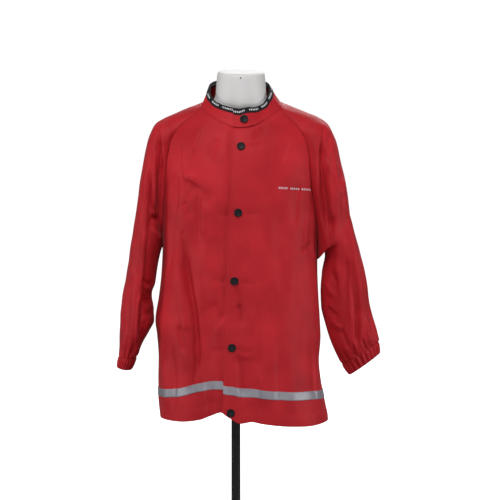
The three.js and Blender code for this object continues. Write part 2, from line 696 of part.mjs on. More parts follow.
// A point of the collar's outer face: share 0 is the neckline seam and 1 the top edge
function collarPoint(turn, share) {
  const around = ((turn % 360) + 360) % 360;
  const base = new THREE.Vector3(...["x", "y", "z"].map((axis) => look(NECKLINE, "turn", axis, around)));
  base.z += NECK_SEAM_GAP;
  const ring = COLLAR_TOP_RING;
  const angle = radians(around);
  const fromFront = around > 180 ? 360 - around : around;
  const top = new THREE.Vector3(
    ring.x - ring.halfWidth * Math.sin(angle),
    -(Math.cos(angle) > 0 ? ring.front : ring.back) * Math.cos(angle),
    look(COLLAR_TOP, "turn", "z", fromFront),
  );
  const out = new THREE.Vector3(-Math.sin(angle), -Math.cos(angle), 0);
  const lap = COLLAR_LAP * smoothstep(turn, COLLAR_LAP_FROM, 340);
  top.z -= COLLAR_DROOP * smoothstep(turn, 285, 310) * (1 - smoothstep(turn, 325, 350));
  return base.lerp(top, share).addScaledVector(out, lap);
}

// Columns stand on the neckline's points and go round anticlockwise seen from above, so the turn
// runs down from the over end
const collarTurns = [-360, 0, 360]
  .flatMap((lap) => NECKLINE.slice(0, -1).map((p) => p.turn + lap))
  .filter((turn) => turn > COLLAR_START + 2 && turn < COLLAR_END - 2)
  .concat(COLLAR_START, COLLAR_END)
  .sort((a, b) => b - a);
const collarRows = spread(3, 0, 1).map((share) => collarTurns.map((turn) => collarPoint(turn, share)));

// The binding that is folded over the collar's top edge, a channel made from the collar's points
function bindingGeometry() {
  const [lower, upper] = collarRows.slice(-2);
  const sections = upper.map((edge, j) => {
    const up = edge.clone().sub(lower[j]).normalize();
    const across = upper[Math.min(j + 1, upper.length - 1)].clone().sub(upper[Math.max(j - 1, 0)]);
    const out = across.cross(up).normalize();
    const at = (outward, rise) => edge.clone().addScaledVector(out, outward).addScaledVector(up, rise);
    const near = BINDING_GAP;
    const far = BINDING_GAP + BINDING_CLOTH;
    return [
      at(near, -BINDING_WIDTH),
      at(near, near),
      at(-COLLAR_CLOTH - near, near),
      at(-COLLAR_CLOTH - near, -BINDING_WIDTH),
      at(-COLLAR_CLOTH - far, -BINDING_WIDTH),
      at(-COLLAR_CLOTH - far, far),
      at(far, far),
      at(far, -BINDING_WIDTH),
    ];
  });
  return sweepGeometry(sections);
}

// A band of reflective tape made from two rows of a panel's points, moved out
function tapeGeometry(rows) {
  const [low, high] = TAPE_ROWS.map((i) => rows[i]);
  const lift = SEAM_GAP + TAPE_CLOTH;
  const lifted = [low, high].map((row) =>
    row.map((p, j) => {
      const across = row[Math.min(j + 1, row.length - 1)].clone().sub(row[Math.max(j - 1, 0)]);
      const up = high[j].clone().sub(low[j]);
      return p.clone().addScaledVector(across.cross(up).normalize(), lift);
    }),
  );
  return wallGeometry(lifted, TAPE_CLOTH);
}

// A press stud's cap: a round button with a rolled rim and a shallow dish
function snapGeometry() {
  const radius = SNAP_RADIUS;
  const profile = [
    [0, 0],
    [radius * 0.94, 0],
    [radius, 0.6],
    [radius, 1.5],
    [radius * 0.92, 2.1],
    [radius * 0.74, 2.2],
    [radius * 0.62, 1.7],
    [0, 1.6],
  ];
  const outline = profile.map(([r, height]) => new THREE.Vector2(r, height));
  return new THREE.LatheGeometry(outline, 14).rotateX(Math.PI / 2);
}

// A snap that stands on the cloth at a point, facing along its normal
function snapAt(name, point, out) {
  const mesh = piece(name, snapGeometry(), "snap");
  mesh.position.copy(point).addScaledVector(out, SEAM_GAP + 0.3);
  mesh.quaternion.setFromUnitVectors(new THREE.Vector3(0, 0, 1), out);
  return mesh;
}

function bodySnap(name, z) {
  const x = look(SNAP_LINE, "z", "x", z);
  const at = (dx, dz) => bodyPoint(frontAngle(x + dx, z + dz), z + dz);
  const reach = SNAP_RADIUS;
  const out = at(reach, 0).sub(at(-reach, 0)).cross(at(0, reach).sub(at(0, -reach))).normalize();
  return snapAt(name, at(0, 0), out);
}

function collarSnap(name) {
  const { turn, share } = COLLAR_SNAP;
  const over = turn + 360;
  const at = (a, b) => collarPoint(over + a, share + b);
  const out = at(-4, 0).sub(at(4, 0)).cross(at(0, 0.15).sub(at(0, -0.15))).normalize();
  return snapAt(name, at(0, 0), out);
}

// A ring of the display form at one height of its tables; toLeft widens the wearer's left side
function formRing({ z, width, front, back, square = SQUARENESS, toLeft = 0 }, slope = 0) {
  return spread(FORM_COLUMNS, 0, 2 * Math.PI)
    .slice(0, -1)
    .map((turn) => {
      const power = 2 / square;
      const y = -Math.cos(turn);
      const halfDepth = y < 0 ? front : back;
      const depth = Math.sign(y) * halfDepth * Math.abs(y) ** power;
      const x = Math.sin(turn);
      const across = Math.sign(x) * (x > 0 ? width + toLeft : width) * Math.abs(x) ** power;
      return new THREE.Vector3(across, depth, z + slope * depth);
    });
}

// The torso follows its table, its shoulders lie under the sleeves, and the neck ends in a flat top
function formGeometry() {
  const { right, left } = SLEEVES;
  const shoulder = FORM_SHOULDER.map(({ row, front, back, square }) => {
    const { ox, oz } = right.open[row];
    const next = right.open[row + 1];
    const fall = new THREE.Vector2(ox - next.ox, oz - next.oz).normalize();
    return {
      z: oz - SHOULDER_CLEARANCE * fall.x,
      width: ox - SHOULDER_INSET + SHOULDER_CLEARANCE * fall.y,
      toLeft: look(left.open, "oz", "ox", oz) - ox,
      front,
      back,
      square,
    };
  });
  const torso = spread(12, FORM[0].z, FORM[FORM.length - 1].z).map((z) => ({
    z,
    ...Object.fromEntries(["width", "front", "back"].map((column) => [column, look(FORM, "z", column, z)])),
  }));
  const [neckFoot, neckTop] = [FORM_NECK[2].z, FORM_NECK[4].z];
  const rings = [...torso, ...shoulder, ...FORM_NECK];
  return loftGeometry(rings.map((ring) => formRing(ring, NECK_TOP_SLOPE * smoothstep(ring.z, neckFoot, neckTop))));
}

function standPieces() {
  const flangeTop = FORM[0].z - SEAM_GAP;
  const poleProfile = [
    [0, BASE.height + SEAM_GAP],
    [POLE_RADIUS, BASE.height + SEAM_GAP],
    [POLE_RADIUS, flangeTop - POLE_FLANGE.height - 10],
    [POLE_RADIUS + 6, flangeTop - POLE_FLANGE.height],
    [POLE_FLANGE.radius, flangeTop - POLE_FLANGE.height],
    [POLE_FLANGE.radius, flangeTop],
    [0, flangeTop],
  ];
  const baseProfile = [
    [0, 0],
    [BASE.radius, 0],
    [BASE.radius, BASE.height - BASE.bevel],
    [BASE.radius - BASE.bevel, BASE.height],
    [0, BASE.height],
  ];
  const turned = (profile, segments) =>
    new THREE.LatheGeometry(profile.map(([r, z]) => new THREE.Vector2(r, z)), segments).rotateX(Math.PI / 2);
  return [
    piece("stand_pole", turned(poleProfile, 24), "stand"),
    piece("stand_base", turned(baseProfile, 48), "stand"),
  ];
}

const worn = new THREE.Group();
worn.position.x = JACKET_X;
for (const [name, rows] of Object.entries(panels)) {
  const isBody = !name.startsWith("sleeve");
  worn.add(piece(name, wallGeometry(rows, isBody ? hemWall : CLOTH), "cloth"));
}
worn.add(piece("cuff_right", cuffGeometry(SLEEVES.right), "cloth"));
worn.add(piece("cuff_left", cuffGeometry(SLEEVES.left), "cloth"));
worn.add(piece("collar", wallGeometry(collarRows, COLLAR_CLOTH), "cloth"));
worn.add(piece("collar_binding", bindingGeometry(), "binding"));
for (const name of ["front_right", "front_left", "back"]) {
  worn.add(piece(`reflective_tape_${name}`, tapeGeometry(panels[name]), "reflective"));
}
worn.add(collarSnap("snap_1"));
BODY_SNAP_Z.forEach((z, k) => worn.add(bodySnap(`snap_${k + 2}`, z)));
worn.add(piece("display_form", formGeometry(), "form"));

const part = new THREE.Group();
part.add(worn, ...standPieces());
export default part;
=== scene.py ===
import math

import bpy
import numpy as np
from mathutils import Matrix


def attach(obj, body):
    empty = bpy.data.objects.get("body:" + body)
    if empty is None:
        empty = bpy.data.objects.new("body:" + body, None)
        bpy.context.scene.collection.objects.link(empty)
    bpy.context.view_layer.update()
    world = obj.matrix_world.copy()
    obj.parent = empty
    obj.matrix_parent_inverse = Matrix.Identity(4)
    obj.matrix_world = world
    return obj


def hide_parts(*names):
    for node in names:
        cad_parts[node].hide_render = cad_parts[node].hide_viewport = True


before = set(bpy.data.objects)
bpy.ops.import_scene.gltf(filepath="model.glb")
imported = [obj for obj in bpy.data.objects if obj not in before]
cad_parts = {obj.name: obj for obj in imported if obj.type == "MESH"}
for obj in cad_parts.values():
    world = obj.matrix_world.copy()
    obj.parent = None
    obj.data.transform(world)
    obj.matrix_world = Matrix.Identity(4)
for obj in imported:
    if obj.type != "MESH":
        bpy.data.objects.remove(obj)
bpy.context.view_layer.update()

# The camera stands level with the chest and looks slightly down on the front
VIEW_TARGET = (0.027, 0.0, 0.526)
VIEW_DISTANCE = 3.2
VIEW_DROP = math.radians(3)
camera = bpy.data.objects.new("camera", bpy.data.cameras.new("camera"))
camera.data.lens = 121.26
camera.data.sensor_width = 36
camera.location = (
    VIEW_TARGET[0],
    VIEW_TARGET[1] - VIEW_DISTANCE * math.cos(VIEW_DROP),
    VIEW_TARGET[2] + VIEW_DISTANCE * math.sin(VIEW_DROP),
)
camera.rotation_euler = (math.radians(90) - VIEW_DROP, 0, 0)
bpy.context.collection.objects.link(camera)
bpy.context.scene.camera = camera
bpy.context.scene.view_settings.view_transform = "Standard"
bpy.context.scene.view_settings.look = "None"

# The key softbox is high in front, with a low wide fill under it, one over the top, a tall strip on
# each side and one behind. All round is a white studio.
SOFTBOXES = [
    # name, place, size across and up, power in watts
    ("key_softbox", (-0.5, -2.0, 2.2), (1.1, 1.0), 23),
    ("fill_softbox", (0.1, -2.0, 0.15), (2.4, 0.5), 8.5),
    ("top_softbox", (0.0, -0.9, 2.3), (1.4, 0.9), 10),
    ("left_strip", (-1.9, -0.6, 0.5), (0.5, 1.2), 13),
    ("right_strip", (1.9, -0.6, 0.5), (0.5, 1.2), 14),
    ("back_softbox", (0.5, 2.0, 2.0), (1.6, 1.2), 26),
]
for name, place, (across, up), power in SOFTBOXES:
    light = bpy.data.objects.new(name, bpy.data.lights.new(name, "AREA"))
    light.data.shape = "RECTANGLE"
    light.data.size = across
    light.data.size_y = up
    light.data.energy = power
    light.location = place
    aim = np.array([0.02, 0.0, 0.55]) - np.array(place)
    light.rotation_euler = (
        math.atan2(math.hypot(aim[0], aim[1]), -aim[2]),
        0,
        math.atan2(-aim[0], aim[1]),
    )
    bpy.context.collection.objects.link(light)

WHITE = (1.0, 1.0, 1.0, 1)


def feed(tree, node, inputs):
    """Give a node's inputs their values, or join them to other nodes' outputs."""
    for key, value in inputs.items():
        if isinstance(value, bpy.types.NodeSocket):
            tree.links.new(value, node.inputs[key])
        else:
            node.inputs[key].default_value = value


def add_node(tree, kind, inputs=None, **settings):
    node = tree.nodes.new(kind)
    for key, value in settings.items():
        setattr(node, key, value)
    feed(tree, node, inputs or {})
    return node


def new_material(name, **inputs):
    """A Principled material; every value here is the same all over the surface."""
    material = bpy.data.materials.new(name)
    material.use_nodes = True
    tree = material.node_tree
    shader = tree.nodes["Principled BSDF"]
    feed(tree, shader, {key.replace("_", " "): value for key, value in inputs.items()})
    return material, tree, shader


studio = bpy.data.worlds.new("studio")
bpy.context.scene.world = studio
studio.use_nodes = True
air = studio.node_tree
sky = air.nodes["Background"]
feed(air, sky, {"Color": WHITE, "Strength": 0.1})
bright_sky = add_node(air, "ShaderNodeBackground", {"Color": WHITE, "Strength": 1.02})
seen = add_node(air, "ShaderNodeLightPath").outputs["Is Camera Ray"]
either = add_node(air, "ShaderNodeMixShader", {0: seen, 1: sky.outputs[0], 2: bright_sky.outputs[0]})
feed(air, air.nodes["World Output"], {"Surface": either.outputs[0]})

# The pale studio floor, wide enough that its far edge is lost in the white
FLOOR_HALF = 40.0
PALE = (0.86, 0.86, 0.86, 1)
floor_mesh = bpy.data.meshes.new("floor")
floor_corners = [(-1, -1), (1, -1), (1, 1), (-1, 1)]
floor_mesh.from_pydata([(FLOOR_HALF * x, FLOOR_HALF * y, 0) for x, y in floor_corners], [], [(0, 1, 2, 3)])
floor_mesh.materials.append(
    new_material("pale_floor", Base_Color=PALE, Roughness=0.9, Emission_Color=WHITE, Emission_Strength=1.0)[0]
)
floor = bpy.data.objects.new("floor", floor_mesh)
bpy.context.collection.objects.link(floor)
floor.visible_diffuse = False
floor.visible_glossy = False

# THE WORN BODY
# The body of the jacket is cut from polyester cloth with a red polyurethane coating. It hangs
# from the shoulders as one soft tube, and each panel below is a stretch of that tube.
MM = 0.001
JACKET_X = 10.0
CLOTH = 1.2
SEAM_INSET = 0.05
SQUARENESS = 2.2
BODY_RADIUS = 105.0  # about how far the cloth is from the body's middle: turns an angle to a length


def table(columns, rows):
    """A table with named columns, as one array for each name."""
    return dict(zip(columns.split(), np.array(rows, dtype=float).T))


BODY = table(
    "z left right front back",
    [
        (180, 167, 152, 114, 112), (211, 165, 154, 113, 112), (248, 158, 158, 112, 111),
        (280, 152, 158, 111, 110), (320, 148, 157, 110, 109), (366, 151, 160, 108, 108),
        (392, 150, 163, 107, 107), (440, 147, 156, 105, 105), (486, 145, 151, 104, 104),
        (535, 145, 149, 102, 102), (602, 145, 149, 101, 100), (640, 144, 150, 99, 99),
        (690, 143, 152, 93, 97), (725, 139, 150, 85, 93), (747, 130, 141, 76, 88),
        (762, 119, 128, 67, 83), (777, 105, 109, 57, 77), (795, 89, 89, 42, 70),
        (815, 80, 80, 30, 63),
    ],
)
# The raglan seams by share of the way up: degrees round from the front and the back centre
RAGLAN = table(
    "share front back",
    [
        (0, 90, 90), (0.15, 80, 81), (0.27, 73.5, 75), (0.42, 68, 69), (0.6, 63.5, 64),
        (0.74, 62, 61), (0.88, 60, 57), (1, 56, 50),
    ],
)
FRONT_NECK_Z = 795.0
BACK_NECK_Z = 813.0
CENTRE_FRONT_NECK_Z = 757.0
CENTRE_BACK_NECK_Z = 808.0
NECK_HALF_WIDTH = 75.0

# Large folds of the body by face: points (x, z) that each runs through, width, depth, which is
# below 0 for a trough, and lean, which makes the side on its left the steeper one if above 0
BODY_FOLDS = {
    "front": [
        ([(-138, 735), (-136, 640), (-135, 560), (-138, 480)], 9, 4.5, 0.3),
        ([(-118, 748), (-116, 690), (-109, 640)], 9, -3.5, 0.4),
        ([(142, 640), (139, 600), (138, 560), (141, 480)], 9, 2.5, -0.3),
        ([(-106, 560), (-98, 490), (-83, 418), (-76, 340), (-78, 262)], 17, -9.5, -0.55),
        ([(-110, 560), (-105, 490), (-93, 425), (-88, 370), (-86, 325), (-88, 262)], 5, -8.5, -0.35),
        ([(-122, 560), (-117, 480), (-106, 420), (-98, 370), (-97, 280)], 10, 6.2, 0.4),
        ([(-136, 520), (-128, 420), (-118, 320)], 14, 2.4, 0.3),
        ([(-58, 440), (-44, 410), (-30, 400)], 15, -4.4, 0.3),
        ([(-58, 400), (-54, 340), (-52, 280)], 18, -3.6, 0.3),
        ([(-113, 395), (-107, 366), (-101, 338)], 4.5, -5, 0.4),
        ([(47, 757), (34, 742), (21, 731)], 6, -4, 0.4),
        ([(74, 620), (77, 540), (79, 420)], 22, -4.4, -0.3),
        ([(112, 500), (117, 400), (124, 290)], 16, -4, 0.3),
        ([(140, 470), (143, 390), (146, 300)], 13, 2.4, -0.3),
        ([(-4, 345), (0, 300), (4, 250)], 13, -6.5, -0.5),
        ([(-100, 650), (-84, 640), (-62, 630), (-48, 610)], 16, -4.6, 0.4),
        ([(-86, 628), (-80, 570), (-78, 510)], 14, -3.2, 0.3),
        ([(-10, 432), (2, 415), (8, 385)], 12, -4, 0.4),
        ([(46, 390), (44, 300), (46, 215)], 26, 2.6, 0.2),
        ([(-36, 330), (-42, 285), (-44, 240)], 18, 2.4, 0.3),
    ],
    "back": [
        ([(-60, 700), (-92, 560), (-100, 400), (-98, 215)], 17, -7, 0.4),
        ([(-40, 560), (-46, 400), (-50, 215)], 18, 5, -0.3),
        ([(4, 640), (0, 440), (-6, 215)], 18, -5, 0.3),
        ([(58, 700), (86, 560), (98, 400), (104, 215)], 17, -7, -0.4),
        ([(48, 500), (52, 360), (56, 215)], 18, 4, 0.3),
    ],
}
# Finer creases between them, in the same form
BODY_CREASES = {
    "front": [
        ([(-107, 660), (-90, 650), (-74, 639)], 7.2, -3.8, 0.4),
        ([(-112, 672), (-96, 668), (-80, 664)], 6.3, 2.2, 0.2),
        ([(-79, 640), (-78, 600), (-80, 545)], 5.4, -3.8, 0.5),
        ([(-70, 625), (-69, 590), (-71, 550)], 5.4, 2.5, -0.2),
        ([(-124, 676), (-120, 650), (-119, 600)], 4.5, -3, 0.3),
        ([(-105, 622), (-97, 610), (-92, 588)], 6.3, -2.5, 0.4),
        ([(-52, 560), (-44, 530), (-40, 490)], 11, -1.8, 0.3),
        ([(-74, 500), (-66, 455), (-63, 420)], 10, -2.1, -0.3),
        ([(-98, 392), (-93, 366), (-90, 338)], 4, -4.4, 0.4),
        ([(-72, 300), (-70, 260), (-64, 225)], 6.3, -3.4, 0.4),
        ([(-128, 350), (-124, 290), (-127, 225)], 6.3, -3.4, 0.3),
        ([(-147, 330), (-143, 275), (-145, 220)], 6.3, 3.4, -0.3),
        ([(-40, 740), (-52, 715), (-60, 690)], 7.2, -3, 0.3),
        ([(-70, 760), (-84, 735), (-92, 705)], 6.3, 2.6, 0.3),
        ([(-16, 598), (-30, 594), (-44, 596)], 6.3, -1.3, 0.4),
        ([(-24, 474), (-38, 472), (-52, 476)], 6.3, -1.3, 0.4),
        ([(-28, 349), (-40, 344), (-54, 346)], 6.3, -1.6, 0.3),
        ([(12, 722), (26, 722), (42, 728)], 6.3, -1.3, 0.4),
        ([(6, 598), (20, 596), (36, 600)], 6.3, -1.2, -0.4),
        ([(-1, 472), (14, 468), (30, 470)], 6.3, -1.3, -0.4),
        ([(-6, 348), (8, 342), (24, 344)], 6.3, -1.6, -0.4),
        ([(-6, 470), (-1, 430), (6, 396)], 5.4, -2.9, 0.4),
        ([(0, 590), (6, 540), (8, 500)], 9, -1.8, 0.3),
        ([(36, 430), (34, 360), (37, 290)], 9, -3.4, 0.5),
        ([(92, 738), (82, 716), (76, 690)], 7.2, -3, 0.3),
        ([(112, 660), (104, 618), (102, 570)], 7.2, -3.4, 0.4),
        ([(126, 600), (120, 560), (122, 515)], 5.4, 3, -0.3),
        ([(134, 545), (124, 532), (112, 524)], 5.4, -3.4, 0.3),
        ([(96, 520), (98, 460), (96, 410)], 10, 1.6, 0.3),
        ([(56, 480), (60, 420), (58, 370)], 11, -2, 0.3),
        ([(30, 440), (26, 380), (30, 330)], 12, 1.4, 0.3),
        ([(70, 350), (72, 290), (70, 230)], 10, -2.3, -0.3),
        ([(96, 340), (96, 280), (100, 225)], 12, 1.8, 0.3),
        ([(134, 380), (136, 310), (140, 240)], 5.4, -3.4, 0.4),
        ([(30, 300), (34, 262), (36, 225)], 5.4, -3, 0.4),
    ],
    "back": [
        ([(-104, 690), (-88, 676), (-70, 668)], 7.2, -2.6, 0.4),
        ([(-118, 640), (-112, 590), (-116, 545)], 5.4, -2.6, 0.3),
        ([(-78, 650), (-72, 600), (-76, 550)], 7.2, 2.3, -0.3),
        ([(-30, 770), (-34, 720), (-30, 680)], 8.1, -2.6, 0.3),
        ([(-8, 600), (-16, 540), (-14, 480)], 7.2, 2, 0.3),
        ([(-66, 460), (-70, 400), (-66, 340)], 6.3, -2.6, 0.4),
        ([(-120, 420), (-124, 350), (-122, 280)], 7.2, 2.9, 0.3),
        ([(-28, 380), (-24, 310), (-26, 240)], 6.3, -2.5, -0.4),
        ([(-78, 300), (-72, 262), (-74, 225)], 5.4, -2.5, 0.3),
        ([(-138, 330), (-136, 280), (-140, 225)], 5.4, -2.3, 0.4),
        ([(26, 760), (34, 715), (36, 670)], 8.1, -2.3, 0.3),
        ([(18, 560), (24, 500), (20, 440)], 7.2, -2.2, 0.3),
        ([(100, 690), (86, 672), (66, 660)], 7.2, -2.6, 0.3),
        ([(122, 640), (114, 600), (118, 550)], 5.4, -2.5, 0.4),
        ([(70, 620), (74, 570), (70, 520)], 7.2, 2, 0.3),
        ([(76, 440), (72, 380), (76, 320)], 6.3, -2.6, -0.3),
        ([(126, 430), (124, 350), (128, 290)], 7.2, 2.8, 0.3),
        ([(30, 360), (26, 300), (28, 240)], 6.3, -2.3, 0.4),
        ([(80, 300), (84, 262), (82, 225)], 5.4, 2.3, 0.3),
        ([(142, 320), (140, 270), (144, 225)], 5.4, -2.3, 0.3),
    ],
}


def smoothstep(value, low, high):
    share = np.clip((value - low) / (high - low), 0, 1)
    return share * share * (3 - 2 * share)


def look(rows, place, column, at):
    """One column of a table, read between its rows on a curve that doesn't overshoot."""
    xs, ys = rows[place], rows[column]
    slope = np.diff(ys) / np.diff(xs)
    before, after = slope[:-1], slope[1:]
    agree = before * after > 0
    both = np.where(agree, before + after, 1)
    middle = np.where(agree, 2 * before * after / both, 0)
    tangent = np.concatenate([slope[:1], middle, slope[-1:]])
    at = np.clip(at, xs[0], xs[-1])
    i = np.clip(np.searchsorted(xs, at, side="right") - 1, 0, len(xs) - 2)
    span = xs[i + 1] - xs[i]
    t = (at - xs[i]) / span
    bend = span * t * (1 - t) * ((1 - t) * tangent[i] - t * tangent[i + 1])
    return ys[i] + (ys[i + 1] - ys[i]) * t * t * (3 - 2 * t) + bend


def fold_shift(folds, x, z):
    """How far the folds move the cloth out, at places seen from the front or the back."""
    shift = np.zeros(np.broadcast(x, z).shape)
    for points, width, depth, lean in folds:
        nearest = np.full(shift.shape, np.inf)
        share = np.zeros(shift.shape)
        side = np.zeros(shift.shape)
        for k, ((x1, z1), (x2, z2)) in enumerate(zip(points, points[1:])):
            length2 = (x2 - x1) ** 2 + (z2 - z1) ** 2
            t = np.clip(((x - x1) * (x2 - x1) + (z - z1) * (z2 - z1)) / length2, 0, 1)
            distance = np.hypot(x - x1 - t * (x2 - x1), z - z1 - t * (z2 - z1))
            turned = (x - x1) * (z2 - z1) - (z - z1) * (x2 - x1)
            side = np.where(distance < nearest, np.tanh(turned / math.sqrt(length2) / width * 1.5), side)
            share = np.where(distance < nearest, (k + t) / (len(points) - 1), share)
            nearest = np.minimum(nearest, distance)
        taper = np.clip(np.minimum(share, 1 - share) * 4, 0, 1)
        reach = width * (1 + lean * side) * (0.55 + 0.45 * taper)
        fade = 0.15 + 0.85 * taper * taper * (3 - 2 * taper)
        shift += depth * fade * np.exp(-((nearest / reach) ** 2))
    return shift


def unevenness(u, v, seed, waves=11):
    """Soft hills and dips from about -1 to 1, about one unit of u and v across, the same each run."""
    pick = np.random.default_rng(seed)
    total = 0
    for _ in range(waves):
        way, size, start = pick.uniform(0, 2 * np.pi), pick.uniform(1.2, 4.2), pick.uniform(0, 2 * np.pi)
        total = total + np.cos(size * (u * math.cos(way) + v * math.sin(way)) + start)
    return total * math.sqrt(2 / waves) * 0.6


def half_width(side, z):
    """The body's half width, to the wearer's right where side is below 0."""
    return np.where(side < 0, look(BODY, "z", "right", z), look(BODY, "z", "left", z))


def body_points(angle, z, extra=0.0):
    """Points of the body's outer face. The angle runs from the front centre to the wearer's left."""
    power = 2 / SQUARENESS
    sine, cosine = np.sin(angle), np.cos(angle)
    width = half_width(sine, z)
    depth = np.where(cosine < 0, look(BODY, "z", "back", z), look(BODY, "z", "front", z))
    x = np.sign(sine) * width * np.abs(sine) ** power
    y = -np.sign(cosine) * depth * np.abs(cosine) ** power
    out_x, out_y = x / width**2, y / depth**2
    length = np.hypot(out_x, out_y)
    facing = smoothstep(np.abs(cosine), 0, 0.35)
    fronts = fold_shift(BODY_FOLDS["front"], x, z) if np.any(cosine >= 0) else 0
    backs = fold_shift(BODY_FOLDS["back"], x, z) if np.any(cosine < 0) else 0
    shift = facing * np.where(cosine < 0, backs, fronts) + extra
    return np.stack([x + out_x / length * shift, y + out_y / length * shift, z + 0 * x], axis=-1)


def body_x(angle, z):
    sine = np.sin(angle)
    return np.sign(sine) * half_width(angle, z) * np.abs(sine) ** (2 / SQUARENESS)


def front_angle(x, z):
    return np.sign(x) * np.arcsin(np.minimum(1, (np.abs(x) / half_width(x, z)) ** (SQUARENESS / 2)))


def seam_angle(underarm_z, face, z):
    top = FRONT_NECK_Z if face == "front" else BACK_NECK_Z
    return np.radians(look(RAGLAN, "share", face, (z - underarm_z) / (top - underarm_z)))


def edge_height(place, edge_z, start):
    """The heights at which a panel's columns meet an edge whose height depends on x."""
    z = start
    for _ in range(12):
        z = (z + edge_z(body_points(place(z), z)[..., 0])) / 2
    return z


def unit(vectors):
    return vectors / np.maximum(np.linalg.norm(vectors, axis=-1, keepdims=True), 1e-12)


def grid_normals(grid, wrap=False):
    """Outward normals of a grid whose rows go up and whose columns go round anticlockwise."""
    if wrap:
        across = np.roll(grid, -1, axis=1) - np.roll(grid, 1, axis=1)
    else:
        across = np.gradient(grid, axis=1)
    return unit(np.cross(across, np.gradient(grid, axis=0)))


def spaced(count, span, first=0.8, growth=1.5):
    """Shares from 0 to 1 that crowd together at both ends, where an edge rolls in."""
    near = []
    step, at = first, 0.0
    while step < span / count and len(near) < 6:
        at += step
        near.append(at / span)
        step *= growth
    near = np.array(near)
    inner = np.linspace(near[-1], 1 - near[-1], max(2, count - 2 * len(near)))
    return np.concatenate([[0], near[:-1], inner, 1 - near[:-1][::-1], [1]])


def make_object(name, vertices, faces, material, uv=None, worn=True):
    """A smooth mesh from places in millimetres, with an optional UV for each vertex."""
    places = np.asarray(vertices, dtype=float) * MM
    if worn:
        places = places + np.array([JACKET_X * MM, 0, 0])
    mesh = bpy.data.meshes.new(name)
    mesh.from_pydata(places.tolist(), [], faces)
    mesh.polygons.foreach_set("use_smooth", [True] * len(mesh.polygons))
    if uv is not None:
        layer = mesh.uv_layers.new(name="cloth_map")
        corner = np.empty(len(mesh.loops), dtype=int)
        mesh.loops.foreach_get("vertex_index", corner)
        layer.data.foreach_set("uv", (np.asarray(uv)[corner] * MM).ravel())
    mesh.materials.append(material)
    made = bpy.data.objects.new(name, mesh)
    bpy.context.collection.objects.link(made)
    return made


def place_piece(piece, node=None):
    """A piece moves with the one body, and takes the place of its solid if it has one."""
    if node:
        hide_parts(node)
    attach(piece, "root")


ROLL = 0.2


def wall(name, grid, thickness, material, uv=None, wrap=False):
    """A closed wall of cloth from a grid of points on its outer face, with softly rolled edges."""
    rows, columns = grid.shape[:2]
    normals = grid_normals(grid, wrap)
    roll = np.zeros((rows, columns))
    roll[[0, -1], :] = ROLL
    if not wrap:
        roll[:, [0, -1]] = ROLL
    outer = grid - normals * roll[..., None]
    inner = grid - normals * (thickness - roll)[..., None]
    index = np.arange(rows * columns).reshape(rows, columns)
    if wrap:
        index = np.concatenate([index, index[:, :1]], axis=1)
    deep = index + rows * columns
    quads = lambda a, b, c, d: np.stack([a, b, c, d], axis=-1).reshape(-1, 4)
    faces = [
        quads(index[:-1, :-1], index[:-1, 1:], index[1:, 1:], index[1:, :-1]),
        quads(deep[:-1, :-1], deep[1:, :-1], deep[1:, 1:], deep[:-1, 1:]),
        quads(index[0, :-1], deep[0, :-1], deep[0, 1:], index[0, 1:]),
        quads(index[-1, :-1], index[-1, 1:], deep[-1, 1:], deep[-1, :-1]),
    ]
    if not wrap:
        faces.append(quads(index[:-1, 0], index[1:, 0], deep[1:, 0], deep[:-1, 0]))
        faces.append(quads(index[:-1, -1], deep[:-1, -1], deep[1:, -1], index[1:, -1]))
    vertices = np.concatenate([outer.reshape(-1, 3), inner.reshape(-1, 3)])
    if uv is not None:
        uv = np.concatenate([uv.reshape(-1, 2)] * 2)
    return make_object(name, vertices, np.concatenate(faces).tolist(), material, uv)


def length_map(grid):
    """A UV in millimetres: the way round at each height, and the way up each column."""
    across = np.linalg.norm(np.diff(grid, axis=1), axis=-1)
    up = np.linalg.norm(np.diff(grid, axis=0), axis=-1)
    middle = len(grid) // 2
    u = np.concatenate([[0], np.cumsum(across[middle])])
    v = np.concatenate([np.zeros((1, grid.shape[1])), np.cumsum(up, axis=0)])
    return np.stack([np.broadcast_to(u, grid.shape[:2]), v], axis=-1)


def object_place(tree):
    return add_node(tree, "ShaderNodeTexCoord").outputs["Object"]


def noise(tree, scale, detail=2.0):
    inputs = {"Vector": object_place(tree), "Scale": scale, "Detail": detail}
    return add_node(tree, "ShaderNodeTexNoise", inputs).outputs["Fac"]


def tinted(tree, factor, dark, light, low=0.0, high=1.0):
    """A colour that goes from dark to light as the factor goes from low to high."""
    tint = add_node(tree, "ShaderNodeValToRGB", {"Fac": factor})
    for stop, position, colour in zip(tint.color_ramp.elements, (low, high), (dark, light)):
        stop.position = position
        stop.color = (*colour, 1)
    return tint.outputs["Color"]


def bumped(tree, height, strength, distance, under=None):
    """A bump, on top of another one if that is given."""
    inputs = {"Height": height, "Strength": strength, "Distance": distance}
    if under is not None:
        inputs["Normal"] = under
    return add_node(tree, "ShaderNodeBump", inputs).outputs["Normal"]


def coated_cloth(name):
    """Red coated cloth: a fine even grain under a thin satin film, a little uneven in colour."""
    material, tree, shader = new_material(
        name,
        Roughness=0.56,
        Sheen_Weight=0.08,
        Sheen_Roughness=0.4,
        Sheen_Tint=(1.0, 0.62, 0.62, 1),
        Specular_IOR_Level=0.15,
    )
    clouds = noise(tree, 14, 3)
    red = tinted(tree, clouds, (0.42, 0.0125, 0.02), (0.58, 0.020, 0.0295), 0.3, 0.72)
    crinkle = bumped(tree, noise(tree, 75, 4), 0.25, 0.0012)
    grain = bumped(tree, noise(tree, 900), 0.12, 0.0002, crinkle)
    feed(tree, shader, {"Base Color": red, "Normal": grain})
    return material


CLOTH_MATERIAL = coated_cloth("coated_cloth")

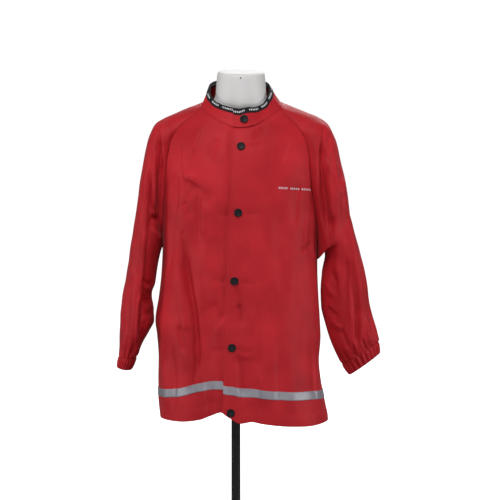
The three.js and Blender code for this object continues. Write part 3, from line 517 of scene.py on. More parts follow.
# THE HEM AND THE FRONT OPENING
# All three body panels are turned up 21 mm at the hem. The left front's edge is folded under and
# carries the press studs, and the right front runs on beneath it.
HEM_TURN_UP = 21.0
HEM_EXTRA = 0.55
SNAP_FROM_EDGE = 14.5
UNDERLAP = 17.0
UNDERLAP_DIP = 2.9
FRONT_HEM = table(
    "x z tape",
    [
        (-160, 209, 40), (-116, 210, 46), (-78, 216, 52), (-53, 226, 48), (-38, 231, 43),
        (-24, 223, 45), (0, 211, 49), (20, 214, 46), (40, 210, 47), (93, 203, 49), (131, 201, 49),
        (168, 204, 42),
    ],
)
BACK_HEM = table(
    "x z tape",
    [
        (-160, 209, 40), (-90, 201, 47), (-30, 207, 46), (40, 200, 48), (110, 203, 47),
        (168, 204, 42),
    ],
)
SNAP_LINE = table("z x", [(200, -19), (342, -16.5), (465, -12), (598, -5), (722, 0.5), (757, 3)])
UNDERARM = {"right": 534.0, "left": 508.0}
SIDE = {"right": -1, "left": 1}
SEAM_PULL = 0.25
SEAM_PULL_REACH = 2.2


def placket_x(z):
    return look(SNAP_LINE, "z", "x", z) - SNAP_FROM_EDGE


def underlap_x(z):
    return look(SNAP_LINE, "z", "x", z) + UNDERLAP


def front_neck_z(x):
    rise = FRONT_NECK_Z - CENTRE_FRONT_NECK_Z
    return CENTRE_FRONT_NECK_Z + rise * np.minimum(1, np.abs(x) / NECK_HALF_WIDTH) ** 1.9


def seam_inset(z, face):
    return SEAM_INSET / look(BODY, "z", face, z)


def seam_pull(distance):
    """A stitched seam draws the cloth in along it."""
    return -SEAM_PULL * np.exp(-((distance / SEAM_PULL_REACH) ** 2))


def hem_shift(rise):
    """The turned-up layer thickens the hem, and the row of stitches at its top sinks in."""
    turned = HEM_EXTRA * (1 - smoothstep(rise, HEM_TURN_UP - 1, HEM_TURN_UP + 1.5))
    row = -0.5 * np.exp(-(((rise - HEM_TURN_UP + 2) / 1.3) ** 2))
    return turned + row


def front_place(side, share, z):
    sign = SIDE[side]
    seam = sign * (seam_angle(UNDERARM[side], "front", z) - seam_inset(z, "front"))
    if side == "left":
        opening = front_angle(placket_x(z), z)
        return opening + (seam - opening) * share
    opening = front_angle(underlap_x(z), z)
    return seam + (opening - seam) * share


def back_place(share, z):
    start = np.pi - seam_angle(UNDERARM["left"], "back", z) + seam_inset(z, "back")
    end = np.pi + seam_angle(UNDERARM["right"], "back", z) - seam_inset(z, "back")
    return start + (end - start) * share


HEM_START = 211.0  # where the search for a column's hem begins


def panel_edge(place, rows, share):
    """Heights of the hem and of the tape above it, for each column."""
    hem = edge_height(place, lambda x: look(rows, "x", "z", x), HEM_START + 0 * share)
    return hem, look(rows, "x", "tape", body_points(place(hem), hem)[..., 0])


def front_edges(side, share):
    """Heights of the hem, of the tape above it and of the neckline, for each column."""
    place = lambda z: front_place(side, share, z)
    neck = edge_height(place, front_neck_z, CENTRE_FRONT_NECK_Z + 0 * share)
    return *panel_edge(place, FRONT_HEM, share), neck


def back_edges(share):
    neck = BACK_NECK_Z - (BACK_NECK_Z - CENTRE_BACK_NECK_Z) * (1 - (2 * share - 1) ** 2)
    return *panel_edge(lambda z: back_place(share, z), BACK_HEM, share), neck


def fine_shift(face, x, z, edge):
    """Small creases and the soft unevenness of the cloth, which die away at the seams."""
    creases = fold_shift(BODY_CREASES[face], x, z)
    seed = 11 if face == "front" else 12
    broad = 1.3 * unevenness(x / 44, z / 72, seed)
    small = 0.35 * unevenness(x / 17, z / 26, seed + 10)
    return (creases + broad + small) * smoothstep(edge, 1, 16)


PLACKET_ROW = 4.5  # the placket's row of stitches, from its free edge


def front_surface(side, share, z, hem, neck, lift=0.0):
    """The outer face of a front panel at shares across it and heights."""
    angle = front_place(side, share, z)
    x = body_x(angle, z)
    to_seam = np.abs(angle - SIDE[side] * seam_angle(UNDERARM[side], "front", z)) * BODY_RADIUS
    to_neck = neck - z
    shift = fine_shift("front", x, z, np.minimum(to_seam, to_neck))
    shift = shift + seam_pull(to_seam) + seam_pull(to_neck) + hem_shift(z - hem)
    if side == "right":
        shift = shift - UNDERLAP_DIP * smoothstep(x, placket_x(z) - 17, placket_x(z) - 2)
    else:
        from_edge = x - placket_x(z)
        stitched = 0.35 * np.exp(-(((from_edge - PLACKET_ROW) / 1.2) ** 2))
        shift = shift - stitched - 0.5 * np.exp(-((from_edge / 1.5) ** 2))
    return body_points(angle, z, shift + lift)


def back_surface(share, z, hem, neck, lift=0.0):
    angle = back_place(share, z)
    x = body_x(angle, z)
    to_left = np.abs(angle - (np.pi - seam_angle(UNDERARM["left"], "back", z))) * BODY_RADIUS
    to_right = np.abs(angle - (np.pi + seam_angle(UNDERARM["right"], "back", z))) * BODY_RADIUS
    edge = np.minimum(np.minimum(to_left, to_right), neck - z)
    shift = fine_shift("back", x, z, edge)
    shift = shift + seam_pull(to_left) + seam_pull(to_right) + seam_pull(neck - z) + hem_shift(z - hem)
    return body_points(angle, z, shift + lift)


def panel_heights(hem, underarm, neck, lower_rows, upper_rows):
    """Heights up each column, with rows that crowd at the hem and at the neckline."""
    low = spaced(lower_rows, 300)
    low = low[low < 0.995]
    lower = hem + (underarm - hem) * low[:, None]
    high = spaced(upper_rows, 270)
    high = np.concatenate([[0], high[high > 0.02]])
    upper = underarm + (neck - underarm) * high[:, None]
    return np.concatenate([lower, upper])


# One row of stitches is a line on the cloth, which the tree below turns into separate stitches
STITCH_PITCH = 3.0
STITCH_LENGTH = 2.35
THREAD_WIDTH = 0.5
THREAD_LIFT = 0.1
STITCH_SEED = 7


def stitch_tree():
    tree = bpy.data.node_groups.new("stitch_row", "GeometryNodeTree")
    sockets = {
        "Row": "Geometry",
        "Stitch pitch": "Float",
        "Stitch length": "Float",
        "Thread width": "Float",
        "Seed": "Int",
        "Thread": "Material",
    }
    for name, kind in sockets.items():
        tree.interface.new_socket(name, in_out="INPUT", socket_type=f"NodeSocket{kind}")
    tree.interface.new_socket("Stitches", in_out="OUTPUT", socket_type="NodeSocketGeometry")
    given = add_node(tree, "NodeGroupInput").outputs
    line = add_node(tree, "GeometryNodeMeshToCurve", {"Mesh": given["Row"]})
    spread = {"Curve": line.outputs[0], "Length": given["Stitch pitch"]}
    points = add_node(tree, "GeometryNodeResampleCurve", spread, mode="LENGTH")
    bead = add_node(tree, "GeometryNodeMeshUVSphere", {"Segments": 6, "Rings": 4, "Radius": 0.5})
    tangent = add_node(tree, "GeometryNodeInputTangent").outputs[0]
    along = add_node(tree, "FunctionNodeAlignRotationToVector", {"Vector": tangent}, axis="X")
    uneven = add_node(tree, "FunctionNodeRandomValue", {"Seed": given["Seed"]})
    shortest, longest = [socket for socket in uneven.inputs if socket.type == "VALUE" and socket.enabled][:2]
    shortest.default_value = 0.88
    longest.default_value = 1.06
    lengths = {0: uneven.outputs[1], 1: given["Stitch length"]}
    length = add_node(tree, "ShaderNodeMath", lengths, operation="MULTIPLY").outputs[0]
    width = given["Thread width"]
    size = add_node(tree, "ShaderNodeCombineXYZ", {"X": length, "Y": width, "Z": width})
    where = {"Points": points.outputs[0], "Instance": bead.outputs["Mesh"]}
    how = {"Rotation": along.outputs[0], "Scale": size.outputs[0]}
    placed = add_node(tree, "GeometryNodeInstanceOnPoints", {**where, **how})
    real = add_node(tree, "GeometryNodeRealizeInstances", {"Geometry": placed.outputs[0]})
    thread = {"Geometry": real.outputs[0], "Material": given["Thread"]}
    coloured = add_node(tree, "GeometryNodeSetMaterial", thread)
    add_node(tree, "NodeGroupOutput", {"Stitches": coloured.outputs[0]})
    return tree


def thread_material(name, colour):
    """Spun thread: a fine twist along it, and a soft unevenness in its colour."""
    material, tree, shader = new_material(name, Roughness=0.55)
    fibre = noise(tree, 1500)
    shade = tinted(tree, fibre, [0.75 * value for value in colour], colour)
    feed(tree, shader, {"Base Color": shade, "Normal": bumped(tree, fibre, 0.3, 0.0001)})
    return material


STITCH_TREE = stitch_tree()
RED_THREAD = thread_material("red_thread", (0.46, 0.012, 0.022))


def stitches(name, rows, thread):
    """Separate stitches along rows of places in millimetres."""
    places, edges = [], []
    for row in rows:
        start = len(places)
        places += ((np.asarray(row) + [JACKET_X, 0, 0]) * MM).tolist()
        edges += [(k, k + 1) for k in range(start, len(places) - 1)]
    line_mesh = bpy.data.meshes.new(name)
    line_mesh.from_pydata(places, edges, [])
    sewn = bpy.data.objects.new(name, line_mesh)
    bpy.context.collection.objects.link(sewn)
    modifier = sewn.modifiers.new("stitches", "NODES")
    modifier.node_group = STITCH_TREE
    values = {
        "Stitch pitch": STITCH_PITCH * MM,
        "Stitch length": STITCH_LENGTH * MM,
        "Thread width": THREAD_WIDTH * MM,
        "Seed": STITCH_SEED,
        "Thread": thread,
    }
    for socket in STITCH_TREE.interface.items_tree:
        if socket.name in values:
            modifier[socket.identifier] = values[socket.name]
    scene_now = bpy.context.evaluated_depsgraph_get()
    sewn_mesh = bpy.data.meshes.new_from_object(sewn.evaluated_get(scene_now))
    sewn.modifiers.remove(modifier)
    sewn.data = sewn_mesh
    sewn_mesh.polygons.foreach_set("use_smooth", [True] * len(sewn_mesh.polygons))
    place_piece(sewn)


FRONT_COLUMNS = 122
BACK_COLUMNS = 190
LOWER_ROWS = 120
UPPER_ROWS = 104

# THE BACK
# One panel of coated cloth, without a centre seam, from side seam to side seam and up between the
# raglan sleeves to the neckline.
back_share = spaced(BACK_COLUMNS, 400)
back_hem, back_tape, back_neck = back_edges(back_share)
back_underarm = UNDERARM["left"] + (UNDERARM["right"] - UNDERARM["left"]) * back_share
back_z = panel_heights(back_hem, back_underarm, back_neck, LOWER_ROWS, UPPER_ROWS)
back_grid = back_surface(back_share[None, :], back_z, back_hem, back_neck)
back_cloth = wall("back_cloth", back_grid, CLOTH, CLOTH_MATERIAL, length_map(back_grid))
place_piece(back_cloth, "back")

TOPSTITCH_INSET = 2.6


def back_row(share, rise):
    """A line on the back at shares across it, from its hem or up it."""
    hem, _, neck = back_edges(share)
    return back_surface(share, hem + rise, hem, neck, THREAD_LIFT)


def back_seam_row(side):
    """A line just inside one of the back's raglan seams."""
    z = np.linspace(UNDERARM[side] + 3, BACK_NECK_Z - 6, 120)
    inset = TOPSTITCH_INSET / BODY_RADIUS / (2 * seam_angle(UNDERARM[side], "back", z))
    share = inset if side == "left" else 1 - inset
    return back_surface(share, z, 0 * z + look(BACK_HEM, "x", "z", 0.0), 0 * z + BACK_NECK_Z, THREAD_LIFT)


across = np.linspace(0.012, 0.988, 260)
back_rows = [back_row(across, HEM_TURN_UP - 2), back_seam_row("left"), back_seam_row("right")]
stitches("back_stitches", back_rows, RED_THREAD)

# THE RIGHT FRONT
# It runs on 17 mm past the press studs, under the left front, and its neckline is sewn to the collar.


def front_cloth(side, material):
    """A front's cloth, the shares across it, and the heights of its hem, tape and neckline."""
    share = spaced(FRONT_COLUMNS, 220)
    hem, tape, neck = front_edges(side, share)
    z = panel_heights(hem, UNDERARM[side], neck, LOWER_ROWS, UPPER_ROWS)
    grid = front_surface(side, share[None, :], z, hem, neck)
    cloth = wall(f"{side}_front_cloth", grid, CLOTH, material, length_map(grid))
    place_piece(cloth, f"front_{side}")
    return cloth, share, hem, tape, neck


def front_row(side, share, rise):
    """A line along a front's hem, at shares across it."""
    hem, _, neck = front_edges(side, share)
    return front_surface(side, share, hem + rise, hem, neck, THREAD_LIFT)


def front_upright_row(side, from_edge, low, high):
    """A line up a front: so far from its edge, or just inside its raglan seam if that is None."""
    z = np.linspace(low, high, 150)
    seam = SIDE[side] * (seam_angle(UNDERARM[side], "front", z) - seam_inset(z, "front"))
    edge = placket_x(z) if side == "left" else underlap_x(z)
    opening = front_angle(edge, z)
    if from_edge is None:
        angle = seam - SIDE[side] * TOPSTITCH_INSET / BODY_RADIUS
    else:
        angle = front_angle(edge + from_edge, z)
    share = (angle - opening) / (seam - opening) if side == "left" else (angle - seam) / (opening - seam)
    x = body_x(angle, z)
    hem = look(FRONT_HEM, "x", "z", x)
    return front_surface(side, share, z, hem, front_neck_z(x), THREAD_LIFT)


right_front_cloth, right_share, right_hem, right_tape, right_neck = front_cloth("right", CLOTH_MATERIAL)
across = np.linspace(0.015, 0.985, 170)
right_rows = [
    front_row("right", across, HEM_TURN_UP - 2),
    front_upright_row("right", None, UNDERARM["right"] + 3, FRONT_NECK_Z - 6),
]
stitches("right_front_stitches", right_rows, RED_THREAD)

# THE LEFT FRONT
# Its free edge is folded under to a doubled placket, stitched down 4 mm in. A short row of small
# silver marks is printed on the chest.
PRINT_LEFT = 0.080
PRINT_RIGHT = 0.141
PRINT_Z = 0.6455
PRINT_SLOPE = 0.07
PRINT_HALF_HEIGHT = 0.0018
PRINT_GROUP = 0.0212
PRINT_MARK = 0.0036


def maths(tree, operation, first, second=0.0):
    """A Math node; each of its inputs is a number or another node's socket."""
    return add_node(tree, "ShaderNodeMath", {0: first, 1: second}, operation=operation).outputs[0]


def repeating(tree, along, step, share):
    """1 on the first share of every step along."""
    return maths(tree, "LESS_THAN", maths(tree, "FRACT", maths(tree, "DIVIDE", along, step)), share)


def mixed(tree, tests, under, over):
    """The colour over where every test is 1, and the colour under elsewhere."""
    lit = tests[0]
    for test in tests[1:]:
        lit = maths(tree, "MULTIPLY", lit, test)
    return add_node(tree, "ShaderNodeMix", {0: lit, 6: under, 7: over}, data_type="RGBA").outputs[2]


def split(tree, vector):
    return add_node(tree, "ShaderNodeSeparateXYZ", {0: vector}).outputs


def printed_cloth():
    """The coated cloth with the row of marks on its outer side."""
    material = coated_cloth("printed_coated_cloth")
    tree = material.node_tree
    shader = tree.nodes["Principled BSDF"]
    place = split(tree, object_place(tree))
    facing = split(tree, add_node(tree, "ShaderNodeNewGeometry").outputs["Normal"])
    along = maths(tree, "SUBTRACT", place[0], PRINT_LEFT)
    line = maths(tree, "SUBTRACT", PRINT_Z, maths(tree, "MULTIPLY", along, PRINT_SLOPE))
    off_line = maths(tree, "ABSOLUTE", maths(tree, "SUBTRACT", place[2], line))
    tests = [
        maths(tree, "GREATER_THAN", along, 0.0),
        maths(tree, "LESS_THAN", along, PRINT_RIGHT - PRINT_LEFT),
        maths(tree, "LESS_THAN", off_line, PRINT_HALF_HEIGHT),
        repeating(tree, along, PRINT_GROUP, 0.84),
        repeating(tree, along, PRINT_MARK, 0.55),
        maths(tree, "LESS_THAN", facing[1], 0.0),
    ]
    red = shader.inputs["Base Color"].links[0].from_socket
    feed(tree, shader, {"Base Color": mixed(tree, tests, red, (0.66, 0.6, 0.62, 1))})
    return material


left_front_cloth, left_share, left_hem, left_tape, left_neck = front_cloth("left", printed_cloth())
left_rows = [
    front_row("left", across, HEM_TURN_UP - 2),
    front_upright_row("left", None, UNDERARM["left"] + 3, FRONT_NECK_Z - 6),
    front_upright_row("left", PLACKET_ROW, 236, CENTRE_FRONT_NECK_Z - 3),
]
stitches("left_front_stitches", left_rows, RED_THREAD)

# THE RAGLAN SLEEVES
# Each is one piece of coated cloth that runs from the collar over the shoulder to the wrist, set in
# by the two raglan seams and closed by a seam on its underside. They hang empty.
SLEEVES = {
    "right": {
        "closed": [
            # inner x and z, outer x and z, half depth
            (199, 322, 233, 325, 38), (190, 345, 232, 347, 44), (176, 370, 231, 373, 48),
            (166, 392, 229, 394, 50), (166, 413, 227, 414, 51), (170, 441, 224, 443, 53),
            (163, 464, 219, 468, 55), (160, 486, 215, 494, 57), (156, 509, 211, 523, 59),
            (152, 526, 206, 556, 60),
        ],
        "open": [
            # height on the front and on the back seam, outer x and z, half depth
            (534, 534, 201, 588, 61), (578, 580, 196, 622, 61), (612, 617, 191, 655, 60),
            (644, 652, 186, 686, 58), (674, 686, 180, 717, 55), (702, 718, 173, 744, 52),
            (726, 745, 163, 764, 50), (746, 768, 148, 774, 48), (762, 785, 124, 785, 40),
            (778, 800, 97, 796, 37), (795, 813, 73, 804, 35),
        ],
        "cuff_end": (209, 298, 237, 304, 33),
    },
    "left": {
        "closed": [
            (192, 309, 262, 352, 23), (181, 329, 261, 362, 28), (170, 354, 258, 374, 31),
            (160, 386, 252, 394, 33), (152, 420, 244, 424, 35), (151, 450, 240, 453, 38),
            (154, 486, 233, 492, 43), (159, 514, 226, 522, 48), (157, 530, 220, 545, 52),
            (151, 523, 213, 567, 54),
        ],
        "open": [
            (508, 508, 206, 593, 56), (564, 566, 202, 624, 57), (612, 617, 197, 658, 57),
            (644, 652, 189, 689, 56), (674, 686, 183, 717, 54), (702, 718, 176, 742, 52),
            (726, 745, 166, 762, 50), (746, 768, 151, 775, 48), (762, 785, 127, 786, 40),
            (778, 800, 101, 796, 37), (795, 813, 75.5, 805, 35),
        ],
        "cuff_end": (207, 288, 265, 330, 17),
    },
}
# Folds of the sleeves, in the same form as the body's; the first lie on both faces of a sleeve
SLEEVE_FOLDS = {
    "right": [
        ([(-171, 735), (-180, 593), (-190, 460), (-198, 370), (-206, 325)], 8, 5, 0.3),
        ([(-158, 735), (-168, 593), (-177, 480), (-184, 430)], 8, -6, -0.4),
        ([(-184, 440), (-176, 420), (-164, 400)], 8, -4, 0.3),
    ],
    "left": [
        ([(186, 690), (205, 574), (213, 505), (220, 458), (228, 351)], 9, 5, -0.3),
        ([(155, 750), (160, 680), (164, 600), (170, 545)], 9, -6, 0.4),
        ([(172, 716), (178, 640), (184, 574)], 9, 4, 0.3),
    ],
}
SLEEVE_CREASES = {
    "right": [
        ([(-156, 756), (-151, 722), (-147, 676), (-148, 612), (-150, 560)], 5.6, -13, 0.4),
        ([(-162, 710), (-160, 650), (-161, 596)], 4.3, 7.4, 0.3),
        ([(-166, 728), (-169, 660), (-171, 590)], 3.8, -5.7, 0.4),
        ([(-179, 716), (-182, 640), (-181, 550)], 3.8, -4.9, 0.3),
        ([(-174, 700), (-176, 620), (-175, 570)], 4.3, 4.6, -0.3),
        ([(-167, 590), (-159, 588), (-149, 580)], 3.8, -9.5, 0.3),
        ([(-165, 572), (-156, 556), (-150, 548)], 4.8, 6.1, 0.3),
        ([(-186, 584), (-188, 520), (-189, 468)], 5.7, -4.6, 0.4),
        ([(-191, 460), (-193, 428), (-195, 390), (-201, 341), (-206, 323)], 3, 4.3, -0.5),
        ([(-186, 440), (-187, 405), (-191, 370)], 4.8, -4.3, 0.3),
        ([(-183, 476), (-174, 468), (-165, 463)], 3.8, -3.5, 0.3),
        ([(-186, 466), (-177, 458), (-166, 452)], 3.8, 2.4, 0.3),
        ([(-187, 447), (-178, 438), (-171, 425)], 3.8, -3.2, 0.3),
        ([(-185, 430), (-178, 424), (-170, 411)], 3.8, 2.4, 0.3),
        ([(-178, 398), (-184, 374), (-190, 352)], 4.8, -3.2, 0.3),
        ([(-205, 470), (-210, 420), (-214, 370)], 5.7, -3, 0.4),
        ([(-216, 400), (-219, 366), (-222, 334)], 3.3, 3.2, -0.4),
        ([(-200, 560), (-203, 510), (-206, 470)], 5.7, 2.4, 0.3),
        ([(-204, 344), (-208, 330), (-211, 323)], 2.8, -3.5, 0.3),
        ([(-196, 352), (-201, 336), (-204, 322)], 2.8, 3, 0.3),
        ([(-226, 362), (-227, 342), (-228, 326)], 2.8, -3, 0.3),
    ],
    "left": [
        ([(156, 757), (152, 720), (149, 684), (150, 645), (155, 590), (165, 545)], 6.4, -13, -0.4),
        ([(166, 747), (168, 716), (167, 684)], 4.3, -5.1, 0.3),
        ([(163, 676), (166, 630), (170, 590)], 5.7, 4.9, 0.3),
        ([(190, 665), (190, 640), (189, 628)], 6.6, 3.5, 0.3),
        ([(174, 592), (171, 575), (168, 564)], 5.7, -4.6, 0.3),
        ([(207, 564), (212, 505), (220, 463), (224, 428), (226, 390), (226, 346)], 3.2, 4.6, 0.5),
        ([(203, 466), (206, 430), (207, 390)], 3.8, 3, 0.3),
        ([(216, 430), (218, 386), (218, 340)], 5.7, -5.1, -0.4),
        ([(196, 520), (200, 480), (198, 440)], 5.7, -3.2, 0.4),
        ([(184, 540), (180, 505), (184, 470)], 4.8, 2.7, 0.3),
        ([(170, 490), (178, 470), (180, 440)], 4.8, -3.2, 0.4),
        ([(158, 470), (166, 452), (176, 440)], 4.8, 2.4, 0.3),
        ([(162, 420), (172, 408), (184, 402)], 4.8, -3, 0.3),
        ([(168, 396), (180, 384), (192, 380)], 4.8, 2.4, 0.3),
        ([(190, 380), (198, 358), (206, 338)], 3.8, -3.2, 0.4),
        ([(238, 460), (244, 410), (250, 372)], 4.8, -3, 0.3),
        ([(232, 520), (238, 470), (241, 430)], 4.8, 2.4, 0.3),
        ([(236, 400), (242, 366), (246, 346)], 2.8, 3, 0.3),
        ([(210, 352), (216, 332), (220, 322)], 2.8, -3.5, 0.3),
        ([(228, 362), (236, 342), (240, 334)], 2.8, -3.5, 0.3),
    ],
}
SLEEVE_COLUMNS = 150
SLEEVE_ROWS = 210
SLEEVE_GATHERS = 17
SLEEVE_ROW_RISE = 24  # about how far apart two of the rows above are


def sleeve_section(side, row):
    """Front, back and outer points of a sleeve at row numbers: below 0 under the underarm."""
    sign = SIDE[side]
    shape = SLEEVES[side]
    count = len(shape["closed"])
    opened = table("front_z back_z outer_x outer_z depth", shape["open"])
    opened["row"] = np.arange(len(shape["open"]), dtype=float)
    underarm = UNDERARM[side]
    body_half = look(BODY, "z", side, underarm)
    first = shape["open"][0]
    closing = shape["closed"] + [(body_half, underarm, first[2], first[3], first[4])]
    closed = table("inner_x inner_z outer_x outer_z depth", closing)
    closed["row"] = np.arange(-count, 1, dtype=float)
    up = row >= 0
    front_z = look(opened, "row", "front_z", row)
    back_z = look(opened, "row", "back_z", row)
    front = body_points(sign * seam_angle(underarm, "front", front_z), front_z)
    back = body_points(sign * (np.pi - seam_angle(underarm, "back", back_z)), back_z)
    inner_x = sign * look(closed, "row", "inner_x", row)
    inner = np.stack([inner_x, 0 * row, look(closed, "row", "inner_z", row)], axis=-1)
    front = np.where(up[:, None], front, inner)
    back = np.where(up[:, None], back, inner)
    read = lambda column: np.where(up, look(opened, "row", column, row), look(closed, "row", column, row))
    outer = np.stack([sign * read("outer_x"), (front[:, 1] + back[:, 1]) / 2, read("outer_z")], axis=-1)
    front_out = body_points(sign * seam_angle(underarm, "front", front_z), front_z, 1.0)
    back_out = body_points(sign * (np.pi - seam_angle(underarm, "back", back_z)), back_z, 1.0)
    return front, back, outer, read("depth"), front_out - front, back_out - back


def sleeve_surface(side, row, share, lift=0.0):
    """The outer face of a sleeve at row numbers and shares from its front to its back edge."""
    front, back, outer, depth, front_out, back_out = sleeve_section(side, row)
    middle = (front + back) / 2
    chord = np.linalg.norm(back - front, axis=-1)
    to_back = np.where((chord < 1)[:, None], [0.0, 1.0, 0.0], unit(back - front))
    half_depth = np.maximum(depth, chord / 2)
    start = np.arcsin(chord / 2 / half_depth)
    crown = (outer - middle) / (1 + np.cos(start))[:, None]
    centre = outer - crown
    slit = SEAM_INSET / half_depth
    begin = (start + slit)[:, None]
    turn = begin + (2 * np.pi - 2 * begin) * share[None, :]
    cosine, sine = np.cos(turn)[..., None], np.sin(turn)[..., None]
    point = centre[:, None] - crown[:, None] * cosine - to_back[:, None] * half_depth[:, None, None] * sine
    crown_length = np.linalg.norm(crown, axis=-1)[:, None, None]
    along_crown = unit(crown)[:, None] * cosine * half_depth[:, None, None]
    out = unit(-along_crown - to_back[:, None] * sine * crown_length)
    x, z = point[..., 0], point[..., 2]
    facing = smoothstep(np.abs(sine[..., 0]), 0, 0.5)
    nearest_edge = np.minimum(turn, 2 * np.pi - turn)
    facing = facing * smoothstep(nearest_edge, start[:, None], start[:, None] + 0.11)
    above_cuff = (row[:, None] + len(SLEEVES[side]["closed"])) * SLEEVE_ROW_RISE
    from_cuff = 0.08 + 0.92 * smoothstep(above_cuff, 0.5, 7)
    shift = facing * fold_shift(SLEEVE_FOLDS[side], x, z)
    is_front = sine[..., 0] > 0
    behind = fold_shift(SLEEVE_CREASES[side], x + 5 * SIDE[side], z - 23)
    creases = np.where(is_front, fold_shift(SLEEVE_CREASES[side], x, z), 0.7 * behind)
    shift = shift + facing * creases
    seed = 31 if side == "right" else 37
    girth = half_depth[:, None] * (turn - np.pi)
    broad = 0.9 * unevenness(girth / 26, row[:, None] * SLEEVE_ROW_RISE / 70, seed)
    small = 0.4 * unevenness(girth / 11, row[:, None] * SLEEVE_ROW_RISE / 24, seed + 1)
    to_seam = half_depth[:, None] * np.minimum(turn - begin, 2 * np.pi - begin - turn)
    shift = shift + (broad + small) * smoothstep(to_seam, 1, 14) * smoothstep(row[:, None], 10, 9.4)
    pull = np.where(row[:, None] > 0, 0, seam_pull(to_seam))
    gather = np.cos(SLEEVE_GATHERS * turn + 1.7 * np.sin(2 * turn)) * 1.9 * np.exp(-above_cuff / 17)
    shift = (shift + gather) * from_cuff + seam_pull(above_cuff) + pull
    seam_out = np.where((turn < np.pi)[..., None], front_out[:, None], back_out[:, None])
    drawn_in = np.where(row[:, None] > 0, seam_pull(to_seam), 0)
    return point + out * (shift + lift)[..., None] + seam_out * drawn_in[..., None]


for side in ("right", "left"):
    rows = np.linspace(-len(SLEEVES[side]["closed"]), len(SLEEVES[side]["open"]) - 1, SLEEVE_ROWS)
    rows = np.unique(np.concatenate([rows, [rows[0] + 0.03, rows[-1] - 0.04, rows[-1] - 0.1]]))
    grid = sleeve_surface(side, rows, spaced(SLEEVE_COLUMNS, 260))
    if SIDE[side] < 0:
        grid = grid[:, ::-1]
    cloth = wall(f"{side}_sleeve_cloth", grid, CLOTH, CLOTH_MATERIAL, length_map(grid))
    place_piece(cloth, f"sleeve_{side}")

# THE CUFFS
# A casing of the same cloth round an elastic, 23 mm deep, whose pull gathers the wrist into
# fine uneven pleats.
CUFF_COLUMNS = 192
CUFF_ROWS = 16
CUFF_GATHERS = 23
CUFF_DEPTH = 23
CUFF_SEAM = 0.1
CUFF_ROW_SHARES = (0.12, 0.86)


def cuff_surface(side, share, turn, lift=0.0):
    top = np.array(SLEEVES[side]["closed"][0], dtype=float)
    end = np.array(SLEEVES[side]["cuff_end"], dtype=float)
    sign = SIDE[side]
    down = share[:, None]
    section = top + (end - top) * down
    zero = np.zeros(len(share))
    inner = np.stack([sign * section[:, 0], zero, section[:, 1]], axis=-1)
    outer = np.stack([sign * section[:, 2], zero, section[:, 3]], axis=-1)
    centre = (inner + outer) / 2
    outward = outer - centre
    middle = lambda s: np.array([sign * (s[0] + s[2]) / 2, 0, (s[1] + s[3]) / 2])
    axis = unit(middle(end) - middle(top))
    cosine, sine = np.cos(turn)[None, :, None], np.sin(turn)[None, :, None]
    depth = section[:, 4][:, None, None]
    across = np.array([0.0, sign, 0.0])
    point = centre[:, None] - outward[:, None] * cosine - across * depth * sine + axis * CUFF_SEAM
    half = np.linalg.norm(outward, axis=-1)[:, None, None]
    out = unit(-unit(outward)[:, None] * cosine * depth - across * sine * half)
    wave = np.cos(CUFF_GATHERS * turn + 2.1 * np.sin(turn) + 1.3 * np.sin(3 * turn))[None, :]
    uneven = 1 + 0.45 * np.sin(5 * turn + 0.6)[None, :]
    belly = np.sin(np.pi * np.clip(down, 0, 1)) ** 0.6
    from_seam = 0.15 + 0.85 * smoothstep(down * CUFF_DEPTH, 0.5, 4)
    shift = 1.1 * wave * uneven * (0.45 + 0.75 * belly) * from_seam + 0.9 * belly - 0.6
    return point + out * (shift + lift)[..., None]


for side in ("right", "left"):
    turns = np.linspace(0, 2 * np.pi, CUFF_COLUMNS, endpoint=False)
    shares = spaced(CUFF_ROWS, CUFF_DEPTH, first=0.9)
    grid = cuff_surface(side, shares, turns)[::-1]
    cuff = wall(f"{side}_cuff_cloth", grid, CLOTH, CLOTH_MATERIAL, wrap=True)
    place_piece(cuff, f"cuff_{side}")
    around = np.linspace(0, 2 * np.pi, 4 * CUFF_COLUMNS)
    cuff_rows = cuff_surface(side, np.array(CUFF_ROW_SHARES), around, THREAD_LIFT)
    stitches(f"{side}_cuff_stitches", cuff_rows, RED_THREAD)

# THE COLLAR
# A stand collar of doubled cloth, sewn to the neckline. Its left end laps over the right one.
COLLAR_CLOTH = 1.8
COLLAR_START = -20.0
COLLAR_END = 370.0
COLLAR_LAP = 5.8
COLLAR_DROOP = 4.0
COLLAR_END_DROOP = 2.5
COLLAR_HEIGHT = 43
COLLAR_TOP = table(
    "turn z",
    [
        (0, 791), (20, 795), (39, 801), (52, 806), (62, 813),
        (78, 823), (90, 832), (110, 842), (135, 848), (180, 850),
    ],
)
COLLAR_COLUMNS = 260
COLLAR_ROWS = 20
NECK_SEAM_RISE = 0.15


def neckline():
    """The neckline seam by turn round the neck: 0 is the front centre, 90 the wearer's right."""
    shares = np.linspace(0, 1, 12)
    tops = [sleeve_surface(side, np.array([10.0]), shares)[0] for side in ("right", "left")]
    start = -seam_angle(UNDERARM["right"], "front", FRONT_NECK_Z)
    end = seam_angle(UNDERARM["left"], "front", FRONT_NECK_Z)
    angle = np.linspace(start, end, 27)
    height = edge_height(lambda z: angle, front_neck_z, CENTRE_FRONT_NECK_Z + 0 * angle)
    tops.append(body_points(angle, height))
    across = np.linspace(0, 1, 12)
    dip = (BACK_NECK_Z - CENTRE_BACK_NECK_Z) * (1 - (2 * across - 1) ** 2)
    tops.append(body_points(back_place(across, BACK_NECK_Z - dip), BACK_NECK_Z - dip))
    points = np.concatenate(tops)
    turn = (np.degrees(np.arctan2(-points[:, 0], -points[:, 1])) + 360) % 360
    points, turn = points[np.argsort(turn)], np.sort(turn)
    keep = [0]
    for k in range(1, len(turn)):
        if turn[k] - turn[keep[-1]] > 2:
            keep.append(k)
    points, turn = points[keep], turn[keep]
    rows = [(t - lap, *p) for lap in (360, 0, -360) for t, p in zip(turn, points)]
    return table("turn x y z", sorted(rows))


